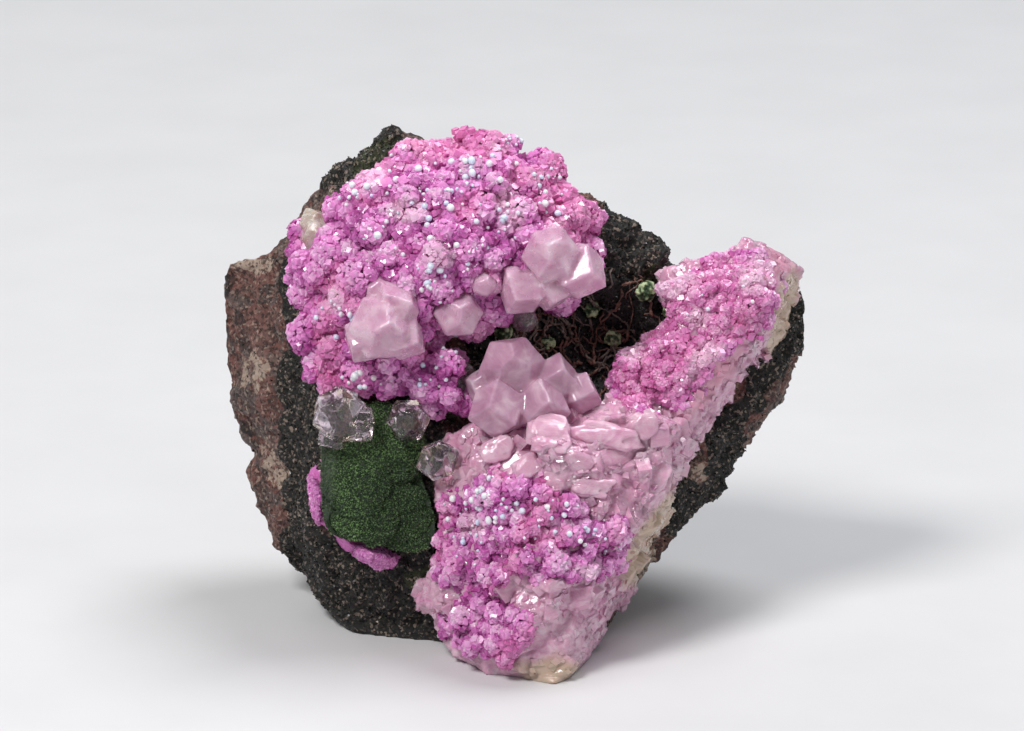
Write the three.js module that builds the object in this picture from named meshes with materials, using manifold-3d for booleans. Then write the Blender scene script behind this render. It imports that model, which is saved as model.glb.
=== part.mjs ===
// A hand-sized specimen of pink, cobalt-rich calcite on its host rock, in millimetres.
//
// Everything is laid out on the specimen's face: x runs to the right, height runs up the face and
// forward comes out of it. The face leans back from upright, and the specimen stands on the flat
// fracture that cuts across its foot.
import * as THREE from "three";
import { ConvexGeometry } from "three/addons/geometries/ConvexGeometry.js";
import { ImprovedNoise } from "three/addons/math/ImprovedNoise.js";
import { MeshSurfaceSampler } from "three/addons/math/MeshSurfaceSampler.js";
import { mergeVertices } from "three/addons/utils/BufferGeometryUtils.js";
import Module from "manifold-3d";

const wasm = await Module();
wasm.setup();

// Driving dimensions
const LEAN = THREE.MathUtils.degToRad(18); // how far the face leans back from upright
const TOE_FORWARD = 13; // forward reach of the toe, which is at height 0
const GAP = 0.35; // clearance between neighbouring pieces
const ROCK_LEVEL = 5; // forward distance of the rock's face under the crusts
const CRUST_LEVEL = 11; // forward distance of the pink crusts at their fullest
const BACK_DEPTH = 23; // how far the rock's back lies behind the middle plane at the foot
const BACK_TAPER = 0.17; // how much the back comes forward per millimetre of height
const MERGE_DISTANCE = 1e-3;
const SHORTEST_EDGE = 0.03; // edges under this are closed up where solids are joined and cut

const noise = new ImprovedNoise();
const UP = new THREE.Vector3(0, 1, 0);

const at = (x, height, forward) => new THREE.Vector3(x, -forward, height);

// 0 at from, 1 at to and straight in between.
const ramp = (value, from, to) => THREE.MathUtils.clamp((value - from) / (to - from), 0, 1);

// 1 in the middle of an oval, falling smoothly to nothing outside it.
const bowl = (x, height, oval) =>
  Math.exp(-(((x - oval.x) / oval.width) ** 2) - ((height - oval.height) / oval.rise) ** 2);

// A repeatable source of numbers between 0 and 1.
function seeded(seed) {
  let state = seed;
  return () => {
    state = (state * 1664525 + 1013904223) % 4294967296;
    return state / 4294967296;
  };
}

// Solids and meshes

function solidOf(geometry, shortestEdge = SHORTEST_EDGE) {
  const bare = new THREE.BufferGeometry();
  bare.setAttribute("position", geometry.getAttribute("position").clone());
  if (geometry.index) bare.setIndex(geometry.index.clone());
  const merged = mergeVertices(bare, MERGE_DISTANCE);
  return new wasm.Manifold(
    new wasm.Mesh({
      numProp: 3,
      vertProperties: merged.attributes.position.array,
      triVerts: new Uint32Array(merged.index.array),
      tolerance: shortestEdge,
    }),
  );
}

function geometryOf(solid) {
  const mesh = solid.getMesh();
  const geometry = new THREE.BufferGeometry();
  geometry.setAttribute("position", new THREE.BufferAttribute(mesh.vertProperties, 3));
  geometry.setIndex(new THREE.BufferAttribute(mesh.triVerts, 1));
  return geometry;
}

const joined = (solids) => solids.reduce((whole, solid) => whole.add(solid));

// The largest connected body of a solid, without the crumbs that a cut can leave.
const largestBody = (solid) =>
  solid.decompose().reduce((most, body) => (body.volume() > most.volume() ? body : most));

// The body in a surface once its nearest corners are merged. Each merge can part a crumb from it.
function tidied(geometry) {
  const merges = 3;
  let body = largestBody(solidOf(geometry));
  for (let i = 0; i < merges; i++) body = largestBody(solidOf(geometryOf(body), 0));
  return body;
}

// What is left of a solid once its neighbours' pockets are cut away.
const clearOf = (solid, pockets) =>
  largestBody(pockets.reduce((rest, pocket) => rest.subtract(pocket), solid));

// Lofted bodies

function roughened(point, amount, grain) {
  const [x, y, z] = [point.x / grain, point.y / grain, point.z / grain];
  const shift = new THREE.Vector3(
    noise.noise(x, y, z),
    noise.noise(x + 31.7, y, z),
    noise.noise(x, y + 47.3, z),
  );
  return point.addScaledVector(shift, amount);
}

// Where a ray from the centre leaves a star-shaped outline of [x, height, forward] points.
function outlineAt(outline, centre, angle) {
  const [dx, dh] = [Math.cos(angle), Math.sin(angle)];
  for (let i = 0; i < outline.length; i++) {
    const from = outline[i];
    const to = outline[(i + 1) % outline.length];
    const [ex, eh] = [to[0] - from[0], to[1] - from[1]];
    const [fx, fh] = [from[0] - centre.x, from[1] - centre.height];
    const across = ex * dh - eh * dx;
    const share = (fh * dx - fx * dh) / across;
    const reach = (fh * ex - fx * eh) / across;
    if (share >= 0 && share <= 1 && reach > 0) {
      return from.map((value, axis) => THREE.MathUtils.lerp(value, to[axis], share));
    }
  }
  throw new Error("the outline isn't star-shaped about its centre");
}

// A closed body inside a star-shaped outline: a sphere of small triangles whose rim is drawn out to
// the outline and whose two sides are drawn to a front and a back, each a function of x and height.
// Rough gives the share of the roughness that a place takes, from how near the rim it is and
// whether it is on the front. A margin moves the whole surface out. Finish changes its triangles.
function lofted({
  outline,
  centre,
  front,
  back,
  detail,
  blockiness = 4,
  roughness = [],
  rough = () => 1,
  margin = () => 0,
  finish = (surface) => surface,
}) {
  const geometry = new THREE.IcosahedronGeometry(1, detail).rotateX(0.3).rotateZ(0.5);
  const position = geometry.getAttribute("position");
  for (let i = 0; i < position.count; i++) {
    const direction = new THREE.Vector3().fromBufferAttribute(position, i);
    const share = Math.min(1, Math.hypot(direction.x, direction.z));
    const rim = outlineAt(outline, centre, Math.atan2(direction.z, direction.x));
    const x = THREE.MathUtils.lerp(centre.x, rim[0], share);
    const height = THREE.MathUtils.lerp(centre.height, rim[1], share);
    const onFront = direction.y < 0;
    const side = onFront ? front : back;
    const rise = Math.sqrt(1 - share ** blockiness);
    const point = at(x, height, THREE.MathUtils.lerp(rim[2], side(x, height), rise));
    const roughShare = rough(share, onFront);
    roughness.forEach(({ amount, grain }) => roughened(point, amount * roughShare, grain));
    point.addScaledVector(direction, margin(share, onFront));
    position.setXYZ(i, point.x, point.y, point.z);
  }
  return solidOf(finish(geometry));
}

// Crystals

// Faces of a calcite crystal as tilts from its upright axis, each repeated three times round the
// axis and on the far side. Reach is how far out the face lies, for a crystal of size 1.
const TRIMMED_RHOMB = [
  { tilt: 44.6, turn: 0, reach: 1 },
  { tilt: 0, turn: 0, reach: 1.12 },
];
const NAILHEAD = [
  { tilt: 44.6, turn: 0, reach: 0.86 },
  { tilt: 90, turn: 30, reach: 0.92 },
];
const DOMED = [
  { tilt: 44.6, turn: 0, reach: 0.86 },
  { tilt: 63, turn: 60, reach: 0.94 },
  { tilt: 90, turn: 0, reach: 1 },
];

// The corners that a set of faces leaves: each is where three faces meet inside all the others.
function crystalCorners(form) {
  const faces = form.flatMap(({ tilt, turn, reach }) =>
    [0, 120, 240].flatMap((step) => {
      const phi = THREE.MathUtils.degToRad(tilt);
      const direction = new THREE.Vector3().setFromSphericalCoords(
        1,
        phi,
        THREE.MathUtils.degToRad(turn + step),
      );
      return [
        { direction, reach },
        { direction: direction.clone().negate(), reach },
      ];
    }),
  );
  const corners = [];
  const tolerance = 1e-4;
  faces.forEach((a, i) =>
    faces.slice(i + 1).forEach((b, j) =>
      faces.slice(i + j + 2).forEach((c) => {
        const across = new THREE.Vector3().crossVectors(b.direction, c.direction);
        const volume = a.direction.dot(across);
        if (Math.abs(volume) < tolerance) return;
        const corner = across
          .multiplyScalar(a.reach)
          .addScaledVector(new THREE.Vector3().crossVectors(c.direction, a.direction), b.reach)
          .addScaledVector(new THREE.Vector3().crossVectors(a.direction, b.direction), c.reach)
          .divideScalar(volume);
        const inside = faces.every((f) => corner.dot(f.direction) < f.reach + tolerance);
        const isNew = corners.every((known) => known.distanceTo(corner) > tolerance);
        if (inside && isNew) corners.push(corner);
      }),
    ),
  );
  return corners;
}

const CORNERS = {
  trimmed: crystalCorners(TRIMMED_RHOMB),
  nailhead: crystalCorners(NAILHEAD),
  domed: crystalCorners(DOMED),
};

// One crystal: size is its half width, and spin turns it about its axis.
function crystal({ form, centre, size, axis, spin }) {
  const turn = new THREE.Quaternion()
    .setFromUnitVectors(UP, axis.clone().normalize())
    .multiply(new THREE.Quaternion().setFromAxisAngle(UP, THREE.MathUtils.degToRad(spin)));
  const placed = CORNERS[form].map((corner) =>
    corner
      .clone()
      .multiplyScalar(size)
      .applyQuaternion(turn)
      .add(centre),
  );
  return solidOf(new ConvexGeometry(placed));
}

// A surface of loose triangles, with a crystal's tip of three faces raised on each triangle that
// accepts one, for a share of them. Height is a tip's least and greatest height, as shares of its
// triangle's width.
const tipped = ({ seed, share, heights, accepts }) => (surface) => {
  const random = seeded(seed);
  const { position } = surface.attributes;
  const corners = [];
  const triangle = new THREE.Triangle();
  for (let i = 0; i < position.count; i += 3) {
    triangle.setFromAttributeAndIndices(position, i, i + 1, i + 2);
    const { a, b, c } = triangle;
    const middle = triangle.getMidpoint(new THREE.Vector3());
    const outward = triangle.getNormal(new THREE.Vector3());
    if (random() > share || !accepts(middle, outward)) {
      corners.push(a.clone(), b.clone(), c.clone());
      continue;
    }
    const width = Math.sqrt(triangle.getArea());
    const lean = 0.35;
    const tip = middle
      .lerp([a, b, c][Math.floor(3 * random())], lean * random())
      .addScaledVector(outward, width * THREE.MathUtils.lerp(...heights, random()));
    [[a, b], [b, c], [c, a]].forEach(([from, to]) => corners.push(from.clone(), to.clone(), tip));
  }
  return new THREE.BufferGeometry().setFromPoints(corners);
};

// A body with crystals of mixed sizes grown into the part of its surface that accepts them. Sunk is
// the share of its size by which a crystal's middle lies under the surface.
function studded(body, { seed, count, sizes, spacing, sunk, form, accepts }) {
  const random = seeded(seed);
  const surface = new THREE.Mesh(geometryOf(body));
  const sampler = new MeshSurfaceSampler(surface).setRandomGenerator(random).build();
  const grownAt = [];
  const crystals = [];
  const triesEach = 40;
  for (let tries = 0; tries < count * triesEach && crystals.length < count; tries++) {
    const spot = new THREE.Vector3();
    const outward = new THREE.Vector3();
    sampler.sample(spot, outward);
    const size = THREE.MathUtils.lerp(...sizes, random() ** 2);
    const crowded = grownAt.some((other) => other.distanceTo(spot) < spacing * size);
    if (crowded || !accepts(spot, outward)) continue;
    grownAt.push(spot);
    const centre = spot.clone().addScaledVector(outward, -sunk * size);
    const scatter = new THREE.Vector3(random() - 0.5, random() - 0.5, random() - 0.5);
    const axis = outward.clone().addScaledVector(scatter, 1.1);
    crystals.push(crystal({ form, centre, size, axis, spin: 120 * random() }));
  }
  return joined([body, ...crystals]);
}

const facesForward = (outward) => outward.y < -0.1;

// The host rock

// Outlines are [x, height, forward], clockwise as seen from the front.
const ROCK_OUTLINE = [
  [-29.7, 38.3, -10], [-29.3, 41.8, -9], [-27.0, 42.9, -8], [-23.3, 43.9, -6], [-21.3, 46.8, -6],
  [-18.0, 52.0, -5], [-13.0, 54.6, -4], [-7.5, 53.3, -4], [0.5, 52.3, -5], [6.0, 49.6, -6],
  [9.7, 47.5, -6], [13.5, 45.9, -7], [15.6, 42.8, -8], [18.5, 40.2, -8], [24.5, 39.7, -8],
  [29.0, 39.6, -9], [29.8, 38.0, -10], [28.2, 33.0, -10], [25.0, 25.4, -10], [20.5, 19.9, -11],
  [17.5, 16.0, -12], [13.2, 9.4, -13], [9.5, 3.0, -10], [3.0, -5.0, -4], [-5.5, -4.0, -2],
  [-13.5, -2.0, -4], [-17.5, 3.2, -6], [-20.5, 7.4, -9], [-22.0, 10.1, -10], [-24.5, 14.6, -12],
  [-27.0, 17.3, -14], [-27.3, 20.3, -14], [-26.4, 22.5, -13], [-28.0, 25.8, -12], [-28.9, 31.3, -11],
];
const HOLLOW = { x: 7, height: 35, width: 10, rise: 7.5, depth: 10 };

function rockFront(x, height) {
  const leftFlank = 17 * ramp(x, -19.5, -30);
  const hollow = HOLLOW.depth * bowl(x, height, HOLLOW);
  const rightWing = 5 * ramp(x, 9, 17);
  const foot = 4 * ramp(height, 14, 2) * ramp(x, 0, -8);
  return ROCK_LEVEL - leftFlank - hollow - rightWing - foot;
}

const rockBack = (x, height) => -BACK_DEPTH + BACK_TAPER * height;

// Flat fractures: the direction that each faces and its distance from the rock's middle.
const ROCK_MIDDLE = at(0, 27, -4);
const FRACTURES = [
  { faces: at(-0.84, 0.08, 0.54), distance: 22.6 },
  { faces: at(-0.55, -0.2, -0.8), distance: 21.5 },
  { faces: at(0.62, 0.15, -0.77), distance: 22.5 },
  { faces: at(0.1, 0.75, -0.65), distance: 20.5 },
  { faces: at(0.05, -0.1, -1), distance: 14.2 },
  { faces: at(0.7, -0.6, -0.4), distance: 20.5 },
];

// Knobs of dark botryoidal rock on the shoulder above the hollow: [x, height, forward, radius].
const SHOULDER_KNOBS = [
  [10.4, 45.2, -3.8, 2.5], [13.0, 43.2, -4.2, 2.6], [10.2, 42.0, -3.4, 2.2],
];

function knob([x, height, forward, radius], index) {
  const geometry = new THREE.IcosahedronGeometry(radius, 1).rotateY(index).rotateX(2 * index);
  geometry.scale(1, 0.9, 0.85);
  geometry.translate(x, -forward, height);
  return solidOf(geometry);
}

const knobPocket = ([x, height, forward, radius], index) =>
  knob([x, height, forward, radius + 1.5 * GAP], index);

// A block far wider than the specimen, beyond a flat face that passes through a point.
function blockBeyond(point, direction) {
  const size = 200;
  const out = direction.clone().normalize();
  const turn = new THREE.Quaternion().setFromUnitVectors(UP, out);
  const middle = point.clone().addScaledVector(out, size / 2);
  const box = new THREE.BoxGeometry(size, size, size).applyQuaternion(turn);
  return solidOf(box.translate(middle.x, middle.y, middle.z));
}

const beyondFracture = ({ faces, distance }) =>
  blockBeyond(ROCK_MIDDLE.clone().addScaledVector(faces.clone().normalize(), distance), faces);

// Everything below the surface that the specimen stands on.
const ground = () => blockBeyond(at(0, 0, TOE_FORWARD), at(0, -Math.cos(LEAN), -Math.sin(LEAN)));

// The rock is calm under the crusts and rough where it shows.
const roughRock = (share, onFront) => (onFront ? ramp(share, 0.5, 0.8) : 1);
const ROCK_ROUGHNESS = [
  { amount: 1.5, grain: 8 },
  { amount: 0.9, grain: 2.9 },
];
const ROCK_FORM = {
  outline: ROCK_OUTLINE,
  centre: { x: 0, height: 27 },
  front: rockFront,
  back: rockBack,
  blockiness: 5,
};

const rockBody = (margin) =>
  lofted({
    ...ROCK_FORM,
    detail: 6,
    roughness: ROCK_ROUGHNESS,
    rough: roughRock,
    margin: () => margin,
  });

function rock() {
  const body = rockBody(0);
  const broken = FRACTURES.reduce((rest, fracture) => rest.subtract(beyondFracture(fracture)), body);
  return joined([broken, ...SHOULDER_KNOBS.map(knob)]).subtract(ground());
}

// A slightly larger rock, which leaves room for the real one under whatever lies on it.
const rockPocket = () => joined([rockBody(1.6 * GAP), ...SHOULDER_KNOBS.map(knobPocket)]);

// The dark, twiggy lining of the hollow

const LINING_OUTLINE = [
  [-8.6, 36.2, 2.5], [-4.0, 37.4, 1.5], [2.0, 39.0, -1], [8.0, 42.4, -2.5], [12.0, 41.6, -3.5],
  [15.6, 38.6, -3], [17.0, 34.6, -2], [12.6, 30.6, -1.5], [9.4, 27.4, 0], [3.0, 28.6, 0.5],
  [-4.0, 29.0, 2.5],
];

// Twigs as runs of [x, height] over the floor of the hollow.
const TWIGS = [
  [[12.2, 42.4], [12.6, 40.2], [11.9, 37.4], [11.4, 35.6]],
  [[8.4, 39.8], [11.4, 37.6], [11.1, 34.9], [12.6, 33.6]],
  [[5.6, 37.4], [5.9, 34.9], [6.6, 33.2], [6.2, 30.6]],
  [[4.4, 31.6], [6.6, 32.9], [8.8, 34.0], [11.0, 34.8]],
  [[14.0, 38.4], [14.2, 36.2], [13.6, 33.8], [12.4, 32.2]],
  [[2.2, 36.0], [3.4, 33.8], [3.0, 31.4], [4.6, 29.8]],
];
const TWIG_WIDTH = 0.75;
const TWIG_HEIGHT = 1.5; // how far a twig's centre stands off the floor of the hollow

function twig(run) {
  const path = new THREE.CatmullRomCurve3(
    run.map(([x, height], i) =>
      at(x, height, rockFront(x, height) + TWIG_HEIGHT - 0.5 * ((i + 1) % 2)),
    ),
  );
  const sides = 3;
  const section = new THREE.Shape(
    Array.from({ length: sides }, (_, i) => {
      const turn = (2 * Math.PI * i) / sides;
      return new THREE.Vector2(Math.cos(turn), Math.sin(turn)).multiplyScalar(TWIG_WIDTH / 2);
    }),
  );
  return solidOf(new THREE.ExtrudeGeometry(section, { steps: 3, extrudePath: path }));
}

const LINING_THICKNESS = 1.6;
const LINING_STAND_OFF = 0.7;

const liningSkin = (thickness, gap) =>
  lofted({
    outline: LINING_OUTLINE,
    centre: { x: 6, height: 34.5 },
    front: (x, height) => rockFront(x, height) + thickness,
    back: (x, height) => rockFront(x, height) + LINING_STAND_OFF,
    detail: 2,
    roughness: [{ amount: 0.8, grain: 2.2 }],
    rough: (share, onFront) => (onFront ? 1 : 0),
    margin: () => gap,
  });

const lining = () => joined([liningSkin(LINING_THICKNESS, 0), ...TWIGS.map(twig)]);

// The room that the lining and its twigs take up.
const liningPocket = () => liningSkin(TWIG_HEIGHT + TWIG_WIDTH, 3 * GAP);

// Single crystals and clusters: [x, height, forward, size, axis towards x, axis up, spin]

const CRYSTALS = {
  west_crystal: [
    [-13.2, 35.6, 12.0, 3.1, 0.25, 0.1, 20], [-12.0, 37.4, 11.6, 2.5, -0.4, 0.6, 70],
    [-14.8, 34.4, 11.4, 2.2, -0.7, -0.4, 40], [-11.2, 34.6, 11.4, 2.2, 0.8, -0.3, 95],
    [-13.6, 39.2, 11.2, 1.3, 0.1, 0.9, 10],
  ],
  mid_crystal: [[-5.7, 37.0, 9.4, 2.25, 0.15, 0.2, 15]],
  small_crystal: [[-3.1, 39.8, 10.6, 1.15, 0.3, 0.4, 55]],
  north_cluster: [
    [3.6, 42.8, 10.6, 2.6, -0.1, 0.3, 30], [6.3, 41.2, 9.0, 2.7, 0.5, -0.1, 80],
    [0.8, 39.2, 9.0, 2.3, -0.3, -0.4, 100], [3.6, 39.4, 8.8, 1.9, 0.2, -0.8, 10],
    [-0.2, 40.6, 9.6, 1.1, -0.6, 0.5, 60],
  ],
  centre_cluster: [
    [-0.3, 31.5, 9.2, 3.0, 0.05, 0.35, 25], [4.0, 30.3, 8.6, 2.3, 0.4, 0.5, 75],
    [6.4, 28.9, 8.0, 2.0, 0.9, 0.2, 35], [-1.6, 27.4, 10.6, 2.8, -0.3, 0.1, 90],
    [2.6, 27.6, 10.4, 2.6, 0.3, 0.2, 5], [-2.9, 29.6, 8.4, 2.0, -0.8, 0.3, 50],
  ],
  clear_crystal_west: [
    [-17.6, 26.9, 8.8, 2.5, -0.2, 0.3, 15], [-15.8, 26.0, 8.8, 1.9, 0.6, -0.2, 70],
    [-18.2, 24.8, 8.2, 1.5, -0.3, -0.7, 40],
  ],
  clear_crystal_mid: [[-10.7, 26.3, 8.2, 2.0, 0.3, 0.25, 45]],
  clear_crystal_east: [[-7.7, 22.3, 8.8, 2.0, -0.4, 0.7, 20]],
  smoky_crystal_north: [[1.0, 36.3, 5.4, 1.25, 0.1, -0.6, 30]],
  smoky_crystal_west: [[-5.2, 30.6, 6.6, 1.5, 0.5, 0.4, 65]],
  cream_crystal: [
    [-19.9, 44.7, 4.4, 1.7, -0.5, 0.4, 25], [-20.2, 46.0, 3.6, 1.5, 0.2, 0.9, 60],
  ],
};

// The first crystal of a cluster has the most faces. A gap makes a larger copy, whose faces all
// stand off the crystals' own by at least that much.
function crystalPiece(list, gap = 0) {
  const nearestFace = Math.min(...DOMED.map(({ reach }) => reach));
  return joined(
    list.map(([x, height, forward, size, sideways, upward, spin], i) =>
      crystal({
        form: i === 0 ? "domed" : "nailhead",
        centre: at(x, height, forward),
        size: size + gap / nearestFace,
        axis: at(sideways, upward, 1),
        spin,
      }),
    ),
  );
}

// Whether a spot on a crust lies clear of every single crystal and cluster.
const isBare = (spot) =>
  Object.values(CRYSTALS)
    .flat()
    .every(([x, height, forward, size]) => spot.distanceTo(at(x, height, forward)) > 1.25 * size);

// The upper druse

const UPPER_OUTLINE = [
  [-19.3, 30.0, 6.5], [-21.0, 31.2, 5.5], [-21.3, 35.3, 5], [-21.6, 38.3, 4.5], [-22.2, 40.3, 3.5],
  [-21.8, 42.1, 2.5], [-22.7, 43.8, 1.5], [-22.6, 44.8, 1], [-21.2, 45.3, 1], [-19.5, 46.5, 1],
  [-17.3, 47.5, 1], [-17.2, 49.5, 1], [-16.0, 50.8, 1], [-13.3, 52.4, 1], [-11.5, 53.7, 1],
  [-8.5, 55.0, 2], [-4.7, 55.3, 2], [-0.8, 54.7, 2], [0.6, 53.4, 2], [3.0, 52.4, 1],
  [5.8, 51.2, 0.5], [7.2, 49.8, 0], [7.9, 48.0, 0], [7.8, 45.3, 0], [8.2, 42.3, 1],
  [8.5, 40.2, 2], [7.0, 38.5, 3], [4.5, 38.3, 3], [0.5, 37.2, 3], [-3.5, 36.2, 3],
  [-7.5, 35.6, 3], [-8.6, 33.3, 3.5], [-9.6, 30.0, 4.5], [-11.5, 29.4, 6], [-15.5, 29.4, 6.5],
];
const TONGUE_OUTLINE = [
  [-11.8, 32.0, 5], [-9.8, 34.2, 4], [-7.3, 34.4, 3.5], [-6.1, 32.8, 3], [-5.5, 30.6, 3],
  [-3.7, 28.4, 3], [-3.1, 26.6, 4], [-5.0, 25.4, 5], [-8.5, 27.3, 5], [-11.5, 29.5, 5],
];

const upperFront = (x, height) =>
  CRUST_LEVEL - 0.018 * (x + 8) ** 2 - 0.026 * (height - 41) ** 2;

// Crusts stand a little off the rock's face, and reach round its edges. Their backs are smooth.
const onRock = (x, height) => rockFront(x, height) + 2 * GAP;
const roughCrust = (share, onFront) => (onFront ? 1 : ramp(share, 0.8, 1));

function upperDruse() {
  const form = {
    back: onRock,
    roughness: [{ amount: 2.6, grain: 4.6 }],
    rough: roughCrust,
    finish: tipped({
      seed: 11,
      share: 0.5,
      heights: [0.25, 0.75],
      accepts: (spot, outward) => facesForward(outward) && isBare(spot),
    }),
  };
  const body = lofted({
    ...form,
    outline: UPPER_OUTLINE,
    centre: { x: -7, height: 43 },
    front: upperFront,
    detail: 4,
  });
  const tongue = lofted({
    ...form,
    outline: TONGUE_OUTLINE,
    centre: { x: -7, height: 29.8 },
    front: () => CRUST_LEVEL - 3,
    detail: 2,
  });
  return joined([body, tongue]);
}

// The lower calcite, which runs up into the right arm

const LOWER_OUTLINE = [
  [-7.4, 25.0, 6], [-3.5, 26.4, 7], [2.5, 27.2, 6], [7.5, 27.0, 5], [12.5, 28.3, 3],
  [19.4, 25.8, 0], [18.2, 22.5, -4], [17.2, 18.3, -7], [14.7, 13.8, -9], [12.0, 9.8, -10],
  [9.5, 6.0, -6], [8.2, 3.8, 2], [6.4, 1.7, 8], [5.9, -0.2, 10], [3.0, -1.0, 12],
  [-0.3, -0.3, 10], [-2.7, 0.6, 8.5], [-5.7, 1.4, 6.5], [-6.5, 3.3, 5], [-8.0, 5.8, 4.5],
  [-6.7, 8.3, 5], [-8.8, 10.3, 5], [-8.0, 13.8, 6], [-7.2, 16.3, 6], [-7.5, 19.3, 6],
  [-7.3, 22.3, 6],
];
const ARM_OUTLINE = [
  [14.0, 41.0, 1], [17.5, 42.0, 0], [21.3, 41.8, -1], [21.7, 42.9, -1], [24.2, 43.9, -2],
  [26.9, 43.0, -3], [28.7, 41.8, -4], [28.4, 38.3, -6], [27.1, 34.8, -7], [24.4, 32.2, -7],
  [22.2, 28.5, -7], [19.8, 25.4, -6], [17.0, 22.0, 0], [12.0, 26.5, 3], [10.2, 28.9, 3],
  [9.9, 31.2, 2], [12.1, 33.6, 1.5], [15.4, 34.7, 1], [16.6, 37.0, 0], [14.9, 39.2, 0],
];

const lowerFront = (x, height) =>
  TOE_FORWARD + 1 - 0.03 * (x - 2) ** 2 - 0.006 * (height - 14) ** 2 - 3 * ramp(x, -1, -8);

// The arm is flat as far as a ridge that follows its right side, and falls away beyond it.
function armFront(x, height) {
  const ridge = 25.6 + 0.36 * (height - 40);
  return 5.5 - 2.2 * Math.max(0, x - ridge) - 0.1 * Math.max(0, height - 34);
}

// The stretches of the lower calcite that are crusted with small crystals; the rest is cleaved.
function onDruse(spot, outward) {
  const onArm = spot.z > 30 && spot.x < 26;
  const onPocket = spot.z < 21 && spot.z > 9.5 && spot.x < 11;
  const onFootPocket = spot.z < 8 && spot.x < 1;
  return facesForward(outward) && isBare(spot) && (onArm || onPocket || onFootPocket);
}

const onCleavage = (spot, outward) =>
  outward.y < -0.6 && isBare(spot) && spot.z < 27 && !onDruse(spot, outward);

function lowerCalcite() {
  const finish = tipped({ seed: 5, share: 0.5, heights: [0.25, 0.7], accepts: onDruse });
  const body = lofted({
    outline: LOWER_OUTLINE,
    centre: { x: 4, height: 15 },
    front: lowerFront,
    back: onRock,
    detail: 4,
    roughness: [{ amount: 1.9, grain: 4.3 }],
    rough: roughCrust,
    finish,
  });
  const arm = lofted({
    outline: ARM_OUTLINE,
    centre: { x: 20.5, height: 34.5 },
    front: armFront,
    back: () => -9,
    detail: 3,
    roughness: [{ amount: 1.2, grain: 4 }],
    rough: roughCrust,
    finish,
  });
  return studded(joined([body, arm]), {
    seed: 23,
    count: 6,
    sizes: [2.4, 3.2],
    spacing: 1.2,
    sunk: 0.55,
    form: "trimmed",
    accepts: onCleavage,
  });
}

// The pink sill that shows round the foot of the malachite

const SILL_OUTLINE = [
  [-19.0, 24.0, 4], [-11.0, 23.0, 4], [-9.5, 14.4, 4], [-11.4, 12.6, 3.6], [-11.2, 10.3, 3],
  [-13.4, 10.6, 3], [-14.5, 9.9, 3], [-15.4, 11.9, 3], [-18.3, 13.4, 3.2], [-19.9, 15.0, 3.4],
  [-20.7, 17.5, 3.4], [-20.8, 20.2, 3.4],
];

function sill() {
  return lofted({
    outline: SILL_OUTLINE,
    centre: { x: -14.6, height: 17.5 },
    front: () => ROCK_LEVEL + 2.4,
    back: onRock,
    detail: 1,
    roughness: [{ amount: 0.9, grain: 2.1 }],
  });
}

// The malachite: low, overlapping domes, [x, height, forward, radius]

const MALACHITE_OUTLINE = [
  [-19.4, 27.0, 6.5], [-17.3, 28.4, 6.5], [-13.0, 28.6, 6.5], [-10.4, 26.5, 6.5],
  [-9.0, 24.3, 6.3], [-9.1, 21.3, 6.2], [-8.1, 18.3, 6], [-8.2, 15.0, 6], [-9.6, 13.8, 6],
  [-11.0, 13.2, 6], [-13.5, 13.4, 6.2], [-16.0, 14.2, 6.4], [-18.3, 14.9, 6.4],
  [-19.3, 16.3, 6.4], [-19.7, 19.3, 6.4], [-20.1, 22.8, 6.4],
];
const MALACHITE_DOMES = [
  [-16.6, 24.4, 4.6, 4.6], [-15.6, 18.6, 4.6, 4.9], [-12.4, 22.2, 4.2, 4.6],
  [-12.2, 16.8, 4.2, 4.0], [-17.0, 16.9, 5.3, 3.0],
];

function malachiteFront(x, height) {
  const [domeWidth, domeRise, domeReach] = [0.86, 1.2, 0.92];
  const domes = MALACHITE_DOMES.map(([middle, middleHeight, forward, radius]) => {
    const [across, up] = [(x - middle) / domeWidth, (height - middleHeight) / domeRise];
    return forward + domeReach * Math.sqrt(Math.max(0, radius ** 2 - across ** 2 - up ** 2));
  });
  const plate = 8.2 - 1.2 * ramp(x, -13, -10);
  return Math.max(plate, ...domes);
}

const malachite = (gap = 0) =>
  lofted({
    outline: MALACHITE_OUTLINE,
    centre: { x: -14.2, height: 21 },
    front: malachiteFront,
    back: onRock,
    detail: 3,
    roughness: [{ amount: 0.5, grain: 3 }],
    margin: () => 1.6 * gap,
  });

// Malachite balls on the lining of the hollow: [x, height, radius]
const BALLS = [
  [-1.2, 35.2, 0.95], [7.8, 37.4, 0.85], [13.3, 39.3, 1.1], [15.8, 37.3, 0.85],
  [9.9, 34.5, 0.9], [3.3, 34.0, 0.8],
];

function ball([x, height, radius], gap = 0) {
  const sink = 0.4; // share of the radius by which the ball's middle stands off the lining
  const standOff = LINING_THICKNESS + sink * radius;
  const centre = at(x, height, rockFront(x, height) + standOff);
  const geometry = new THREE.DodecahedronGeometry(radius + 1.3 * gap);
  return solidOf(geometry.translate(centre.x, centre.y, centre.z));
}

// Putting the pieces together

const FINISHES = {
  rock: { color: 0x55443f, roughness: 0.85 },
  lining: { color: 0x1d1917, roughness: 0.7 },
  pinkDruse: { color: 0xd673b4, roughness: 0.45 },
  palePink: { color: 0xe6b3cb, roughness: 0.3 },
  malachite: { color: 0x2c5a37, roughness: 0.9 },
  paleCrystal: { color: 0xe9c3d3, roughness: 0.15 },
  clearCrystal: { color: 0xd9d3d6, roughness: 0.1 },
  smokyCrystal: { color: 0x94857f, roughness: 0.2 },
  cream: { color: 0xe4d8cc, roughness: 0.3 },
};

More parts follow.
